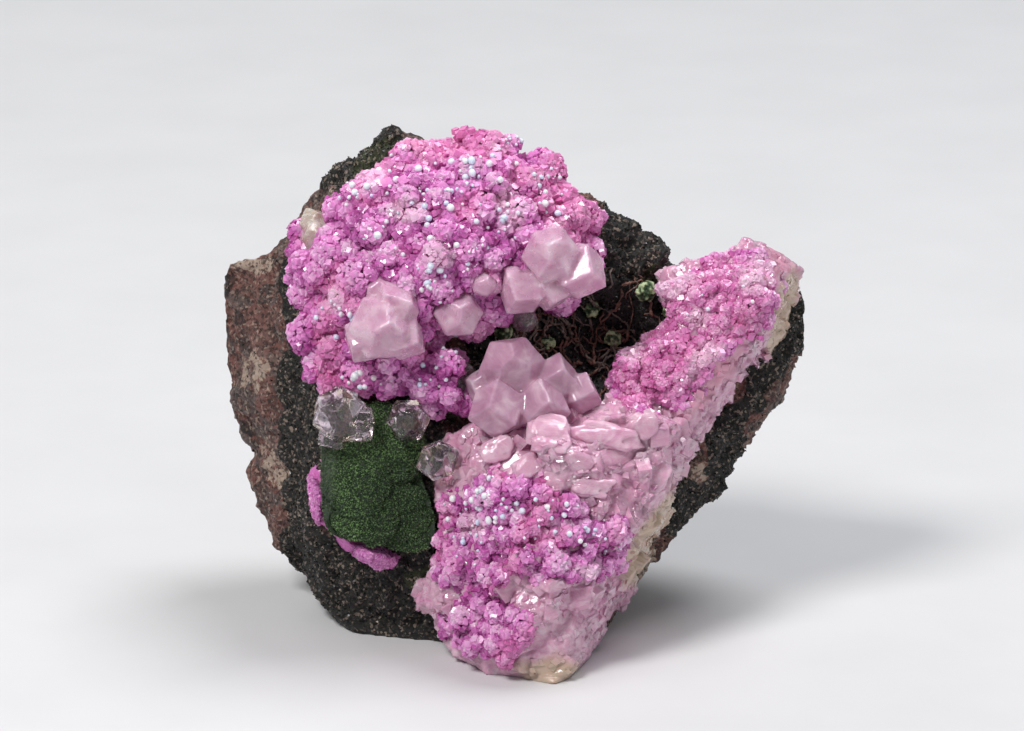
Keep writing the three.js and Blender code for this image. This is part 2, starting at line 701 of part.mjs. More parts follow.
const CRYSTAL_FINISH = {
  clear_crystal_west: FINISHES.clearCrystal,
  clear_crystal_mid: FINISHES.clearCrystal,
  clear_crystal_east: FINISHES.clearCrystal,
  smoky_crystal_north: FINISHES.smokyCrystal,
  smoky_crystal_west: FINISHES.smokyCrystal,
  cream_crystal: FINISHES.cream,
};

const hostRock = rock();
const rockRoom = rockPocket();
const crystalRooms = Object.values(CRYSTALS).map((list) => crystalPiece(list, GAP));
const crystalSolids = Object.values(CRYSTALS).map((list, i) =>
  clearOf(crystalPiece(list), crystalRooms.slice(0, i)),
);
const ballRooms = BALLS.map((place) => ball(place, GAP));
const malachitePatch = clearOf(malachite(), [rockRoom, ...crystalRooms]);
const rooms = [rockRoom, liningPocket(), malachite(GAP), ...crystalRooms, ...ballRooms];

// The two crusts meet along a seam below the tongue, and part at the right end of the upper one.
const SEAM = at(-5, 25.9, 8);
const OVER_SEAM = at(-0.35, 1, 0);
const UPPER_END = at(10, 30, 0);
const RIGHT = at(1, 0, 0);
const besideSeam = SEAM.clone().addScaledVector(OVER_SEAM.clone().normalize(), GAP);
const besideUpperEnd = UPPER_END.clone().addScaledVector(RIGHT, GAP);
const belowSeam = blockBeyond(besideSeam, OVER_SEAM.clone().negate());
const pastUpperEnd = blockBeyond(UPPER_END, RIGHT);
const upperCorner = blockBeyond(SEAM, OVER_SEAM).intersect(
  blockBeyond(besideUpperEnd, RIGHT.clone().negate()),
);
const upper = clearOf(upperDruse(), [...rooms, belowSeam, pastUpperEnd]);
const lower = clearOf(lowerCalcite(), [...rooms, upperCorner, ground()]);

const pieces = {
  host_rock: [hostRock, FINISHES.rock],
  hollow_lining: [clearOf(lining(), [rockRoom, ...crystalRooms, ...ballRooms]), FINISHES.lining],
  upper_druse: [upper, FINISHES.pinkDruse],
  lower_calcite: [lower, FINISHES.palePink],
  pink_sill: [clearOf(sill(), [rockRoom, malachite(GAP)]), FINISHES.pinkDruse],
  malachite_patch: [malachitePatch, FINISHES.malachite],
};
Object.keys(CRYSTALS).forEach((name, i) => {
  pieces[name] = [crystalSolids[i], CRYSTAL_FINISH[name] ?? FINISHES.paleCrystal];
});
BALLS.forEach((place, i) => {
  pieces[`malachite_ball_${i + 1}`] = [ball(place), FINISHES.malachite];
});

// The face leans back, and the origin is the middle of the foot of the box round the specimen.
const leaning = Object.entries(pieces).map(([name, [solid, finish]]) => ({
  name,
  finish,
  geometry: geometryOf(solid).rotateX(-LEAN),
}));
const box = new THREE.Box3();
leaning.forEach(({ geometry }) => {
  geometry.computeBoundingBox();
  box.union(geometry.boundingBox);
});
const middle = box.getCenter(new THREE.Vector3());

const specimen = new THREE.Group();
specimen.name = "calcite_specimen";
leaning.forEach(({ name, finish, geometry }) => {
  const whole = tidied(geometry.translate(-middle.x, -middle.y, -box.min.z));
  const flatFaced = geometryOf(whole).toNonIndexed();
  flatFaced.computeVertexNormals();
  const mesh = new THREE.Mesh(flatFaced, new THREE.MeshStandardMaterial(finish));
  mesh.name = name;
  specimen.add(mesh);
});

export default specimen;
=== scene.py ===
"""A pink calcite specimen on its host rock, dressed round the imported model, laid out as an add-on."""

import math

import bmesh
import bpy
import numpy as np
from bpy.props import FloatProperty, FloatVectorProperty, IntProperty, PointerProperty
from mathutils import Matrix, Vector
from mathutils.bvhtree import BVHTree
from mathutils.kdtree import KDTree


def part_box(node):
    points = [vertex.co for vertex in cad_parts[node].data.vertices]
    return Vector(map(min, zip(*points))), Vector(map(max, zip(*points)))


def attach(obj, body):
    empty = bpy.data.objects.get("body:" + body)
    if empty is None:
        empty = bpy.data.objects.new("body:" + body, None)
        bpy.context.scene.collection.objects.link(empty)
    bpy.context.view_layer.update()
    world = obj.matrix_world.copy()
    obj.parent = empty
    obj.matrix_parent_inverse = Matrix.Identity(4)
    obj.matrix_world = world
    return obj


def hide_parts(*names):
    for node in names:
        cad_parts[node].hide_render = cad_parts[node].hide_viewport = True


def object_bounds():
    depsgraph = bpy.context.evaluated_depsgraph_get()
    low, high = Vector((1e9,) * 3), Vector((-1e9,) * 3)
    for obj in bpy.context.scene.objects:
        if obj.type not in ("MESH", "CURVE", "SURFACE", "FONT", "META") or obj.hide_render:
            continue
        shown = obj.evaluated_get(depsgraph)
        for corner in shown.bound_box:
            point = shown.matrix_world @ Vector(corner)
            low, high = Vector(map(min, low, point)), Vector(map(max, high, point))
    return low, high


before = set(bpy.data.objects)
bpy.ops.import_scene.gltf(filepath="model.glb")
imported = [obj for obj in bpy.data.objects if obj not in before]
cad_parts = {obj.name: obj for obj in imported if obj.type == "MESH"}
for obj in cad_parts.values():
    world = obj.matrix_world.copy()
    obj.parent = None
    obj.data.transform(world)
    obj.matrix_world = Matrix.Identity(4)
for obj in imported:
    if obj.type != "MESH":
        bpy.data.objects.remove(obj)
CAD_BOX = [list(corner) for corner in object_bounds()]

bl_info = {
    "name": "Calcite specimen",
    "version": (1, 0, 0),
    "blender": (4, 5, 0),
    "location": "3D View > Sidebar > Calcite",
    "description": "Makes a pink calcite specimen with malachite on its host rock",
    "category": "Add Mesh",
}

MM = 0.001

# The specimen's face: x to the right, height up it and forward out of it, all in millimetres.
LEAN = math.radians(18)
FACE_X = np.array((1.0, 0.0, 0.0))
FACE_UP = np.array((0.0, math.sin(LEAN), math.cos(LEAN)))
FACE_OUT = np.array((0.0, -math.cos(LEAN), math.sin(LEAN)))
FACE_AXES = np.array((FACE_X, FACE_UP, FACE_OUT))
MID_CRYSTAL = np.array((-5.7, 37.0, 9.4))  # the middle of the mid crystal, in the face's measures

BALLS = [f"malachite_ball_{i}" for i in range(1, 7)]
MILKY = ["west_crystal", "mid_crystal", "small_crystal", "north_cluster"]
GLASSY = ["centre_cluster"]
CLEAR = ["clear_crystal_west", "clear_crystal_mid", "clear_crystal_east"]
SMOKY = ["smoky_crystal_north", "smoky_crystal_west"]
SINGLE_CRYSTALS = MILKY + GLASSY + CLEAR + SMOKY + ["cream_crystal"]


def node_middle(node):
    low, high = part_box(node)
    return np.array(low + high) / 2


FACE_ORIGIN = node_middle("mid_crystal") - MID_CRYSTAL @ FACE_AXES * MM


def on_face(points):
    """Face measures in millimetres to places in the frame, in metres."""
    return FACE_ORIGIN + np.asarray(points, float) @ FACE_AXES * MM


def face_measures(points):
    """Places in the frame, in metres, to face measures in millimetres."""
    return (np.asarray(points, float) - FACE_ORIGIN) @ FACE_AXES.T / MM


# Numbers and noise


def unit(vectors):
    return vectors / np.maximum(np.linalg.norm(vectors, axis=-1, keepdims=True), 1e-12)


def smooth_step(values, low, high):
    t = np.clip((values - low) / (high - low), 0, 1)
    return t * t * (3 - 2 * t)


def lattice_value(cells, seed):
    """A repeatable number from -1 to 1 for each whole-number cell."""
    mixed = cells[:, 0] * 73856093 ^ cells[:, 1] * 19349663 ^ cells[:, 2] * 83492791
    mixed = (mixed ^ (seed * 97531)) & 0xFFFFFFFF
    mixed = ((mixed ^ (mixed >> 15)) * 2246822519) & 0xFFFFFFFF
    mixed = ((mixed ^ (mixed >> 13)) * 3266489917) & 0xFFFFFFFF
    mixed ^= mixed >> 16
    return mixed / 0x7FFFFFFF - 1


def soft_noise(points, grain, seed):
    """Smooth noise from -1 to 1 with lumps of about one grain, for points in the grain's unit."""
    scaled = points / grain + 1000
    cells = np.floor(scaled).astype(np.int64)
    part = scaled - cells
    part = part * part * (3 - 2 * part)
    total = np.zeros(len(points))
    for corner in np.ndindex(2, 2, 2):
        weight = np.prod(np.where(np.array(corner) == 1, part, 1 - part), axis=1)
        total += weight * lattice_value(cells + np.array(corner), seed)
    return total


def rough_noise(points, grain, octaves, seed, fade=0.5):
    total = np.zeros(len(points))
    strength = 1.0
    for octave in range(octaves):
        total += strength * soft_noise(points, grain / 2**octave, seed + octave)
        strength *= fade
    return total


def reach_from(oval, x, height):
    """How far out places lie from an oval's middle, with 1 on its edge."""
    middle, middle_height, width, rise, turn = oval
    cos, sin = math.cos(math.radians(turn)), math.sin(math.radians(turn))
    across = (x - middle) * cos + (height - middle_height) * sin
    up = (height - middle_height) * cos - (x - middle) * sin
    return np.hypot(across / width, up / rise)


def zone(places, ovals, wander, seed):
    """1 inside any of the ovals on the face, 0 well outside: (x, height, half width, half rise, turn)."""
    x = places[:, 0] + wander * soft_noise(places, 2.1, seed)
    height = places[:, 1] + wander * soft_noise(places, 2.1, seed + 1)
    inside = np.zeros(len(places))
    for oval in ovals:
        inside = np.maximum(inside, 1 - smooth_step(reach_from(oval, x, height), 0.75, 1.25))
    return inside


# Meshes


def arrays_of(mesh):
    """Vertices, triangles and vertex normals of a mesh, as arrays."""
    mesh.calc_loop_triangles()
    verts = np.zeros(len(mesh.vertices) * 3)
    mesh.vertices.foreach_get("co", verts)
    tris = np.zeros(len(mesh.loop_triangles) * 3, np.int32)
    mesh.loop_triangles.foreach_get("vertices", tris)
    normals = np.zeros(len(mesh.vertices) * 3)
    mesh.vertices.foreach_get("normal", normals)
    return verts.reshape(-1, 3), tris.reshape(-1, 3), normals.reshape(-1, 3)


def kept_inside(verts, spare=0.5 * MM):
    """Presses what sticks out of the CAD's box back to it, and stands everything on the floor."""
    low, high = (np.array(corner) for corner in CAD_BOX)
    above = np.maximum(verts - high, 0)
    below = np.maximum(low - verts, 0)
    inside = np.clip(verts, low, high)
    inside += spare * (1 - np.exp(-above / spare)) - spare * (1 - np.exp(-below / spare))
    inside[:, 2] = np.maximum(inside[:, 2], 0)
    return inside


def new_piece(name, verts, faces, smooth, attributes):
    """A mesh object from arrays, with its per-vertex attributes."""
    mesh = bpy.data.meshes.new(name)
    mesh.from_pydata(verts.tolist(), [], faces.tolist())
    for key, values in attributes.items():
        layer = mesh.attributes.new(key, "FLOAT", "POINT")
        layer.data.foreach_set("value", np.asarray(values, np.float32))
    mesh.polygons.foreach_set("use_smooth", [smooth] * len(mesh.polygons))
    mesh.update()
    piece = bpy.data.objects.new(name, mesh)
    bpy.context.scene.collection.objects.link(piece)
    return piece


def modified(source, build):
    """The mesh of a copy of an object once the modifiers that build adds are applied."""
    copy = bpy.data.objects.new("working copy", source.data.copy())
    bpy.context.scene.collection.objects.link(copy)
    build(copy)
    graph = bpy.context.evaluated_depsgraph_get()
    mesh = bpy.data.meshes.new_from_object(copy.evaluated_get(graph))
    bpy.data.objects.remove(copy)
    return mesh


def remeshed(node, voxel, smoothing):
    """Fine, even arrays of a CAD node's surface."""

    def build(copy):
        remesh = copy.modifiers.new("even", "REMESH")
        remesh.mode = "VOXEL"
        remesh.voxel_size = voxel
        smooth = copy.modifiers.new("smooth", "SMOOTH")
        smooth.iterations = smoothing

    return without_crumbs(*arrays_of(modified(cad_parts[node], build)))


def without_crumbs(verts, tris, normals, smallest=60):
    """The same surface without the loose crumbs that an even remesh leaves at thin edges."""
    body = np.arange(len(verts))
    settled = False
    while not settled:
        joining = body.copy()
        np.minimum.at(joining, tris.ravel(), np.repeat(body[tris].min(axis=1), 3))
        joining = joining[joining]
        settled = (joining == body).all()
        body = joining
    kept = np.bincount(body, minlength=len(verts))[body] >= smallest
    places = np.cumsum(kept) - 1
    return verts[kept], places[tris[kept[tris[:, 0]]]], normals[kept]


def joined(parts):
    """Several (verts, tris, attributes) sets as one, with attributes that some of them lack at 0."""
    keys = sorted({key for _, _, attributes in parts for key in attributes})
    verts = np.concatenate([part[0] for part in parts])
    starts = np.cumsum([0] + [len(part[0]) for part in parts[:-1]])
    tris = np.concatenate([part[1] + start for part, start in zip(parts, starts)])
    attributes = {
        key: np.concatenate([part[2].get(key, np.zeros(len(part[0]))) for part in parts])
        for key in keys
    }
    return verts, tris, attributes


def touchable(part):
    """A part's surface in the form that rays and nearest points are asked of."""
    return BVHTree.FromPolygons(part[0].tolist(), part[1].tolist())


def facing(least):
    """Accepts what faces the viewer by more than this, from -1 behind to 1 straight on."""
    return lambda middles, outward: outward @ FACE_OUT > least


def spots_on(verts, tris, count, random, accepts=None):
    """Places and outward directions spread evenly by area over a surface, where accepts allows."""
    corners = verts[tris]
    across = np.cross(corners[:, 1] - corners[:, 0], corners[:, 2] - corners[:, 0])
    areas = np.linalg.norm(across, axis=1)
    outward = unit(across)
    allowed = areas.copy()
    if accepts is not None:
        allowed *= accepts(corners.mean(axis=1), outward)
    chosen = random.choice(len(tris), size=count, p=allowed / allowed.sum())
    u, v = random.random(count), random.random(count)
    over = u + v > 1
    u[over], v[over] = 1 - u[over], 1 - v[over]
    c = corners[chosen]
    spots = c[:, 0] + u[:, None] * (c[:, 1] - c[:, 0]) + v[:, None] * (c[:, 2] - c[:, 0])
    return spots, outward[chosen]


def spread_out(spots, spacing):
    """Which of the spots to keep so that no two are nearer than their spacings allow."""
    tree = KDTree(len(spots))
    for i, spot in enumerate(spots):
        tree.insert(spot, i)
    tree.balance()
    kept = np.zeros(len(spots), bool)
    spacing = np.broadcast_to(spacing, len(spots))
    for i, spot in enumerate(spots):
        near = tree.find_range(spot, spacing[i])
        kept[i] = not any(kept[j] for _, j, _ in near)
    return kept


def turned_to(axes, spins):
    """Rotation matrices that take +Z to each axis after a turn about +Z."""
    z = unit(axes)
    helper = np.where(np.abs(z[:, 2:3]) < 0.9, (0.0, 0.0, 1.0), (1.0, 0.0, 0.0))
    x = unit(np.cross(helper, z))
    y = np.cross(z, x)
    cos, sin = np.cos(spins)[:, None], np.sin(spins)[:, None]
    return np.stack((x * cos + y * sin, y * cos - x * sin, z), axis=2)


def copies(template, middles, sizes, turns, tones, rise=None):
    """Copies of a template of (verts, tris, tip) at many places, as one set of arrays."""
    points, tris, tips = template
    count, each = len(middles), len(points)
    shapes = points[None] * np.reshape(sizes, (count, 1, -1))
    verts = np.einsum("nij,nkj->nki", turns, shapes) + middles[:, None, :]
    steps = np.arange(count)[:, None, None] * each
    attributes = {"tip": np.tile(tips, count), "tone": np.repeat(tones, each)}
    if rise is not None:
        attributes["rise"] = np.repeat(rise, each)
    return verts.reshape(-1, 3), (tris[None] + steps).reshape(-1, 3), attributes


# Crystal shapes

RHOMB_TILT = math.radians(44.6)
LUMP_LEAN = 0.22  # how far a lump's crystals lean away from straight out
GRAIN_WIDTHS = (0.045, 0.14)  # of the sparkling grains, in millimetres


def rhomb_template():
    """A cleavage rhomb of size 1 with its axis along Z: vertices, triangles and 1 at its tip."""
    turns = np.radians((0, 120, 240))
    faces = np.stack(
        (
            math.sin(RHOMB_TILT) * np.cos(turns),
            math.sin(RHOMB_TILT) * np.sin(turns),
            np.full(3, math.cos(RHOMB_TILT)),
        ),
        axis=1,
    )
    edges = unit(np.cross(np.roll(faces, -1, axis=0), np.roll(faces, -2, axis=0)))
    edges /= (edges * faces).sum(axis=1)[:, None]
    signs = np.array(list(np.ndindex(2, 2, 2))) * 2 - 1
    points = signs @ edges
    quads = []
    for axis in range(3):
        for side in (0, 1):
            others = [a for a in range(3) if a != axis]
            ring = []
            for first, second in ((0, 0), (1, 0), (1, 1), (0, 1)):
                corner = [0, 0, 0]
                corner[axis], corner[others[0]], corner[others[1]] = side, first, second
                ring.append(corner[0] * 4 + corner[1] * 2 + corner[2])
            quads.append(ring)
    tris = []
    for quad in quads:
        a, b, c, _ = (points[i] for i in quad)
        if np.dot(np.cross(b - a, c - a), a + c) < 0:
            quad = quad[::-1]
        tris += [[quad[0], quad[1], quad[2]], [quad[0], quad[2], quad[3]]]
    tips = smooth_step(points[:, 2], -0.2, points[:, 2].max())
    return points, np.array(tris), tips


def tuft_template():
    """A three-sided spike of size 1 along Z: vertices, triangles and 1 at its tip."""
    turns = np.radians((0, 120, 240))
    ring = np.stack((np.cos(turns), np.sin(turns), np.zeros(3)), axis=1)
    points = np.vstack((ring, (0, 0, 1.6)))
    tris = np.array([(0, 1, 3), (1, 2, 3), (2, 0, 3), (0, 2, 1)])
    return points, tris, np.array((0.1, 0.1, 0.1, 1.0))


RHOMB = rhomb_template()
TUFT = tuft_template()


def ball_template(steps):
    """An icosphere of radius 1: vertices, triangles and a tip of 1 all over."""
    copy = bpy.data.meshes.new("ball")
    shape = bmesh.new()
    bmesh.ops.create_icosphere(shape, subdivisions=steps, radius=1)
    shape.to_mesh(copy)
    shape.free()
    verts, tris, _ = arrays_of(copy)
    bpy.data.meshes.remove(copy)
    return verts, tris, np.ones(len(verts))


BALL = ball_template(2)
FINE_BALL = ball_template(4)


def even_directions(count):
    """Directions spread evenly over the half of a sphere round +Z and a little below it."""
    index = np.arange(count) + 0.5
    height = 1 - 1.15 * index / count
    across = np.sqrt(np.clip(1 - height**2, 0, 1))
    turn = index * math.pi * (3 - math.sqrt(5))
    return np.stack((across * np.cos(turn), across * np.sin(turn), height), axis=1)


def jittered(vectors, amount, random):
    return unit(unit(vectors) + amount * random.normal(size=vectors.shape))


def small_crystals(spots, outward, sizes, random, lean, sink, tone=None, rise=None):
    """A rhomb at each spot, standing on the surface with its tip outwards."""
    count = len(spots)
    turns = turned_to(jittered(outward, lean, random), random.uniform(0, 2.1, count))
    middles = spots - outward * np.reshape(sizes, (-1, 1)) * sink
    tones = random.random(count) if tone is None else tone
    rises = np.full(count, 0.1) if rise is None else rise
    stretch = np.stack((sizes, sizes, sizes * random.uniform(0.85, 1.25, count)), axis=1)
    return copies(RHOMB, middles, stretch, turns, tones, rises)


def sparkling_grains(verts, tris, accepts, count, swell, lean, random, uneven=False):
    """Tiny spikes over the part of a surface that accepts them."""
    spots, outward = spots_on(verts, tris, count, random, accepts)
    widths = random.uniform(*GRAIN_WIDTHS, count) * MM
    heights = widths * random.uniform(0.4, 1.0, count) if uneven else widths
    shapes = swell * np.stack((widths, widths, heights), axis=1)
    turns = turned_to(jittered(outward, lean, random), random.uniform(0, 6.28, count))
    return copies(TUFT, spots, shapes, turns, random.random(count))


def lumps(spots, outward, radii, grain, random):
    """Cauliflower lumps: at each spot, rhombs stand side by side over a round head."""
    parts = []
    for spot, out, radius in zip(spots, outward, radii):
        out = jittered(out[None] + 0.35 * np.array((0, 0, 1)), 0.15, random)[0]
        middle = spot - out * radius * 0.2
        count = int(2.0 * (radius / grain) ** 2) + 6
        turn = turned_to(out[None], random.uniform(0, 6.28, 1))[0]
        directions = jittered(even_directions(count) @ turn.T, 0.08, random)
        sizes = grain * random.uniform(0.5, 1.25, count)
        bulge = 1 + 0.16 * soft_noise(directions + radius * 9000, 0.55, 5)
        heads = middle + directions * (radius * bulge * random.uniform(0.88, 1.02, count))[:, None]
        tone = np.clip(random.random() + 0.3 * random.normal(size=count), 0, 1)
        # Painted light and shade: crystals on top of the head are paler, those on its sides deeper
        rise = smooth_step(directions @ out, -0.1, 0.85)
        parts.append(small_crystals(heads, directions, sizes, random, LUMP_LEAN, 0.3, tone, rise))
    return joined(parts)


# Materials


class Nodes:
    """A short way to write one material's nodes."""

    def __init__(self, name):
        self.material = bpy.data.materials.new(name)
        self.material.use_nodes = True
        self.tree = self.material.node_tree
        self.shader = self.tree.nodes["Principled BSDF"]
        self.output = self.tree.nodes["Material Output"]
        place = self.tree.nodes.new("ShaderNodeTexCoord")
        self.place = place.outputs["Object"]

    def add(self, kind, **values):
        node = self.tree.nodes.new(kind)
        for key, value in values.items():
            setattr(node, key, value)
        return node

    def put(self, value, socket):
        if isinstance(value, bpy.types.NodeSocket):
            self.tree.links.new(value, socket)
        else:
            socket.default_value = value

    def set(self, **values):
        """Sets the shader's own sockets: roughness=0.4 for Roughness, base_color for Base Color."""
        for key, value in values.items():
            name = " ".join(word.capitalize() for word in key.split("_")).replace("Ior", "IOR")
            self.put(value, self.shader.inputs[name])

    def attribute(self, name):
        return self.add("ShaderNodeAttribute", attribute_name=name).outputs["Fac"]

    def noise(self, grain, detail=4.0, roughness=0.55, distortion=0.0, stretch=None):
        """Noise with lumps of about one grain, in metres."""
        node = self.add("ShaderNodeTexNoise")
        self.put(self.stretched(stretch), node.inputs["Vector"])
        node.inputs["Scale"].default_value = 1 / grain
        node.inputs["Detail"].default_value = detail
        node.inputs["Roughness"].default_value = roughness
        node.inputs["Distortion"].default_value = distortion
        return node.outputs["Fac"]

    def cells(self, grain, feature="F1", output="Distance", stretch=None):
        node = self.add("ShaderNodeTexVoronoi", feature=feature)
        self.put(self.stretched(stretch), node.inputs["Vector"])
        node.inputs["Scale"].default_value = 1 / grain
        return node.outputs[output]

    def stretched(self, stretch):
        """The object's coordinates, turned by the first three numbers and scaled by the others."""
        if stretch is None:
            return self.place
        node = self.add("ShaderNodeMapping")
        self.put(self.place, node.inputs["Vector"])
        node.inputs["Rotation"].default_value = [math.radians(angle) for angle in stretch[:3]]
        node.inputs["Scale"].default_value = stretch[3:]
        return node.outputs["Vector"]

    def ramp(self, factor, stops):
        node = self.add("ShaderNodeValToRGB")
        elements = node.color_ramp.elements
        while len(elements) < len(stops):
            elements.new(0.5)
        for element, (position, colour) in zip(elements, stops):
            element.position = position
            element.color = (*colour[:3], 1) if hasattr(colour, "__len__") else (colour,) * 3 + (1,)
        self.put(factor, node.inputs["Fac"])
        return node.outputs["Color"]

    def mix(self, factor, first, second):
        node = self.add("ShaderNodeMix", data_type="RGBA")
        node.clamp_factor = True
        self.put(factor, node.inputs["Factor"])
        for value, socket in ((first, node.inputs[6]), (second, node.inputs[7])):
            is_colour = not isinstance(value, bpy.types.NodeSocket) and len(value) == 3
            self.put((*value, 1) if is_colour else value, socket)
        return node.outputs[2]

    def maths(self, operation, first, second):
        node = self.add("ShaderNodeMath", operation=operation)
        self.put(first, node.inputs[0])
        self.put(second, node.inputs[1])
        return node.outputs[0]

    def between(self, value, low, high):
        """0 at low, 1 at high and smooth in between."""
        node = self.add("ShaderNodeMapRange", interpolation_type="SMOOTHSTEP")
        self.put(value, node.inputs["Value"])
        node.inputs["From Min"].default_value = low
        node.inputs["From Max"].default_value = high
        return node.outputs["Result"]

    def bump(self, height, distance, strength=1.0, under=None):
        node = self.add("ShaderNodeBump")
        node.inputs["Distance"].default_value = distance
        node.inputs["Strength"].default_value = strength
        self.put(height, node.inputs["Height"])
        if under is not None:
            self.put(under, node.inputs["Normal"])
        return node.outputs["Normal"]

    def absorb(self, colour, density):
        """What the inside of a see-through material takes out of the light, per metre."""
        node = self.add("ShaderNodeVolumeAbsorption")
        node.inputs["Color"].default_value = (*colour, 1)
        node.inputs["Density"].default_value = density
        self.put(node.outputs["Volume"], self.output.inputs["Volume"])


def sizes():
    return bpy.context.scene.calcite_sizes


def colours():
    return bpy.context.scene.calcite_colours


def dressed_piece(name, part, smooth, material, nodes=()):
    """A piece from (verts, tris, attributes), kept in the CAD's box, with its material and its place."""
    verts, tris, attributes = part
    piece = new_piece(name, kept_inside(verts), tris, smooth, attributes)
    piece.data.materials.append(material)
    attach(piece, "root")
    if nodes:
        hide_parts(*nodes)


def rock_material():
    n = Nodes("host rock")
    c = colours()
    clasts = n.cells(1.9 * MM, output="Color", stretch=(15, 25, 40, 1, 0.6, 1.2))
    patches = n.noise(2.6 * MM, 6, 0.65, 0.9)
    grains = n.noise(0.5 * MM, 5, 0.75)
    mixed = n.mix(0.3, n.mix(0.45, patches, grains), clasts)
    body = n.ramp(
        mixed,
        [(0.34, c.rock_dark), (0.41, c.rock_brown), (0.46, c.rock_red), (0.51, c.rock_blush),
         (0.55, c.rock_brown), (0.6, c.rock_grey), (0.68, c.rock_blush)],
    )
    blush = n.maths("ADD", n.attribute("blush"), n.maths("MULTIPLY", patches, 0.9))
    body = n.mix(n.maths("MULTIPLY", n.between(blush, 1.1, 1.5), 0.55), body, c.rock_blush)
    pits = n.between(n.noise(0.9 * MM, 5, 0.7, 0.6), 0.57, 0.66)
    body = n.mix(n.maths("MULTIPLY", pits, 0.85), body, c.rock_dark)
    cream = n.ramp(n.noise(0.8 * MM, 5, 0.7), [(0.38, c.rock_red), (0.5, c.rock_cream)])
    streaks = n.noise(1.7 * MM, 4, 0.55, 1.3, (0, 15, 10, 1, 1, 0.45))
    body = n.mix(n.between(streaks, 0.64, 0.7), body, cream)
    ragged = n.maths("ADD", n.maths("MULTIPLY", streaks, 1.0), n.maths("MULTIPLY", grains, 0.4))
    cream_edge = n.maths("ADD", n.attribute("cream"), ragged)
    body = n.mix(n.between(cream_edge, 1.1, 1.28), body, cream)
    dark_edge = n.maths("ADD", n.attribute("dark"), n.maths("MULTIPLY", grains, 0.6))
    dark = n.ramp(
        n.noise(0.42 * MM, 6, 0.75),
        [(0.4, (0.003, 0.004, 0.003)), (0.56, c.rock_black), (0.68, c.rock_grey), (0.76, c.rock_cream)],
    )
    body = n.mix(n.between(dark_edge, 0.72, 0.9), body, dark)
    moss_edge = n.maths("ADD", n.attribute("moss"), n.maths("MULTIPLY", grains, 0.6))
    body = n.mix(n.between(moss_edge, 1.06, 1.26), body, c.rock_moss)
    specks = n.cells(0.26 * MM, output="Color")
    body = n.mix(n.maths("MULTIPLY", n.between(specks, 0.7, 0.84), 0.5), body, c.rock_cream)
    body = n.mix(n.maths("MULTIPLY", n.between(specks, 0.4, 0.22), 0.7), body, c.rock_dark)
    fine = n.bump(n.noise(0.2 * MM, 6, 0.75), 0.26 * MM, 1.0)
    coarse = n.bump(n.cells(0.7 * MM), 0.4 * MM, 0.8, fine)
    rough = n.ramp(n.noise(0.8 * MM, 3), [(0.35, 0.38), (0.7, 0.8)])
    n.set(base_color=body, roughness=rough, normal=coarse)
    return n.material


def grain_material():
    n = Nodes("dark sparkling grains")
    c = colours()
    tone = n.attribute("tone")
    colour = n.ramp(
        tone,
        [(0.0, (0.004, 0.005, 0.004)), (0.72, c.rock_black), (0.93, c.rock_grey), (1.0, c.rock_cream)],
    )
    n.set(
        base_color=colour,
        roughness=n.ramp(tone, [(0.2, 0.22), (0.8, 0.5)]),
        normal=n.bump(n.noise(0.15 * MM, 3), 0.03 * MM, 0.6),
    )
    return n.material


def druse_colour_and_painted_light(n):
    """Orchid crystals: painted shade where they are sunk and low on their lumps, painted light at the tips
    and on the lumps' tops, each a little different.
    """
    c = colours()
    tip = n.maths("MULTIPLY", n.attribute("tip"), 0.24)
    tone = n.maths("MULTIPLY", n.attribute("tone"), 0.22)
    rise = n.maths("MULTIPLY", n.attribute("rise"), 0.54)
    patches = n.noise(5.5 * MM, 3, 0.5)
    # Painted light and shade: sunk and low crystals take the deep colour, tips and lump tops the pale one
    colour = n.ramp(
        n.maths("ADD", n.maths("ADD", tip, tone), rise),
        [(0.08, c.orchid_painted_shade), (0.38, c.orchid), (0.7, c.orchid_painted_light), (0.95, c.orchid_milky_and_lit)],
    )
    colour = n.mix(n.between(patches, 0.5, 0.68), colour, n.mix(0.5, colour, c.orchid_rose))
    colour = n.mix(n.maths("MULTIPLY", n.attribute("rosy"), 0.5), colour, c.orchid_rose)
    milky = n.between(n.noise(0.4 * MM, 4, 0.6), 0.58, 0.76)
    colour = n.mix(n.maths("MULTIPLY", milky, 0.3), colour, c.orchid_milky_and_lit)
    return n.mix(n.maths("MULTIPLY", n.attribute("pale"), 0.6), colour, c.druse_white)


def druse_material():
    n = Nodes("orchid druse")
    n.set(
        base_color=druse_colour_and_painted_light(n),
        roughness=n.ramp(n.noise(0.5 * MM, 3), [(0.35, 0.14), (0.7, 0.4)]),
        ior=1.6,
        subsurface_weight=0.4,
        subsurface_radius=(1.0, 0.45, 0.8),
        subsurface_scale=0.4 * MM,
        normal=n.bump(n.noise(0.13 * MM, 4, 0.6), 0.02 * MM, 0.5),
    )
    return n.material


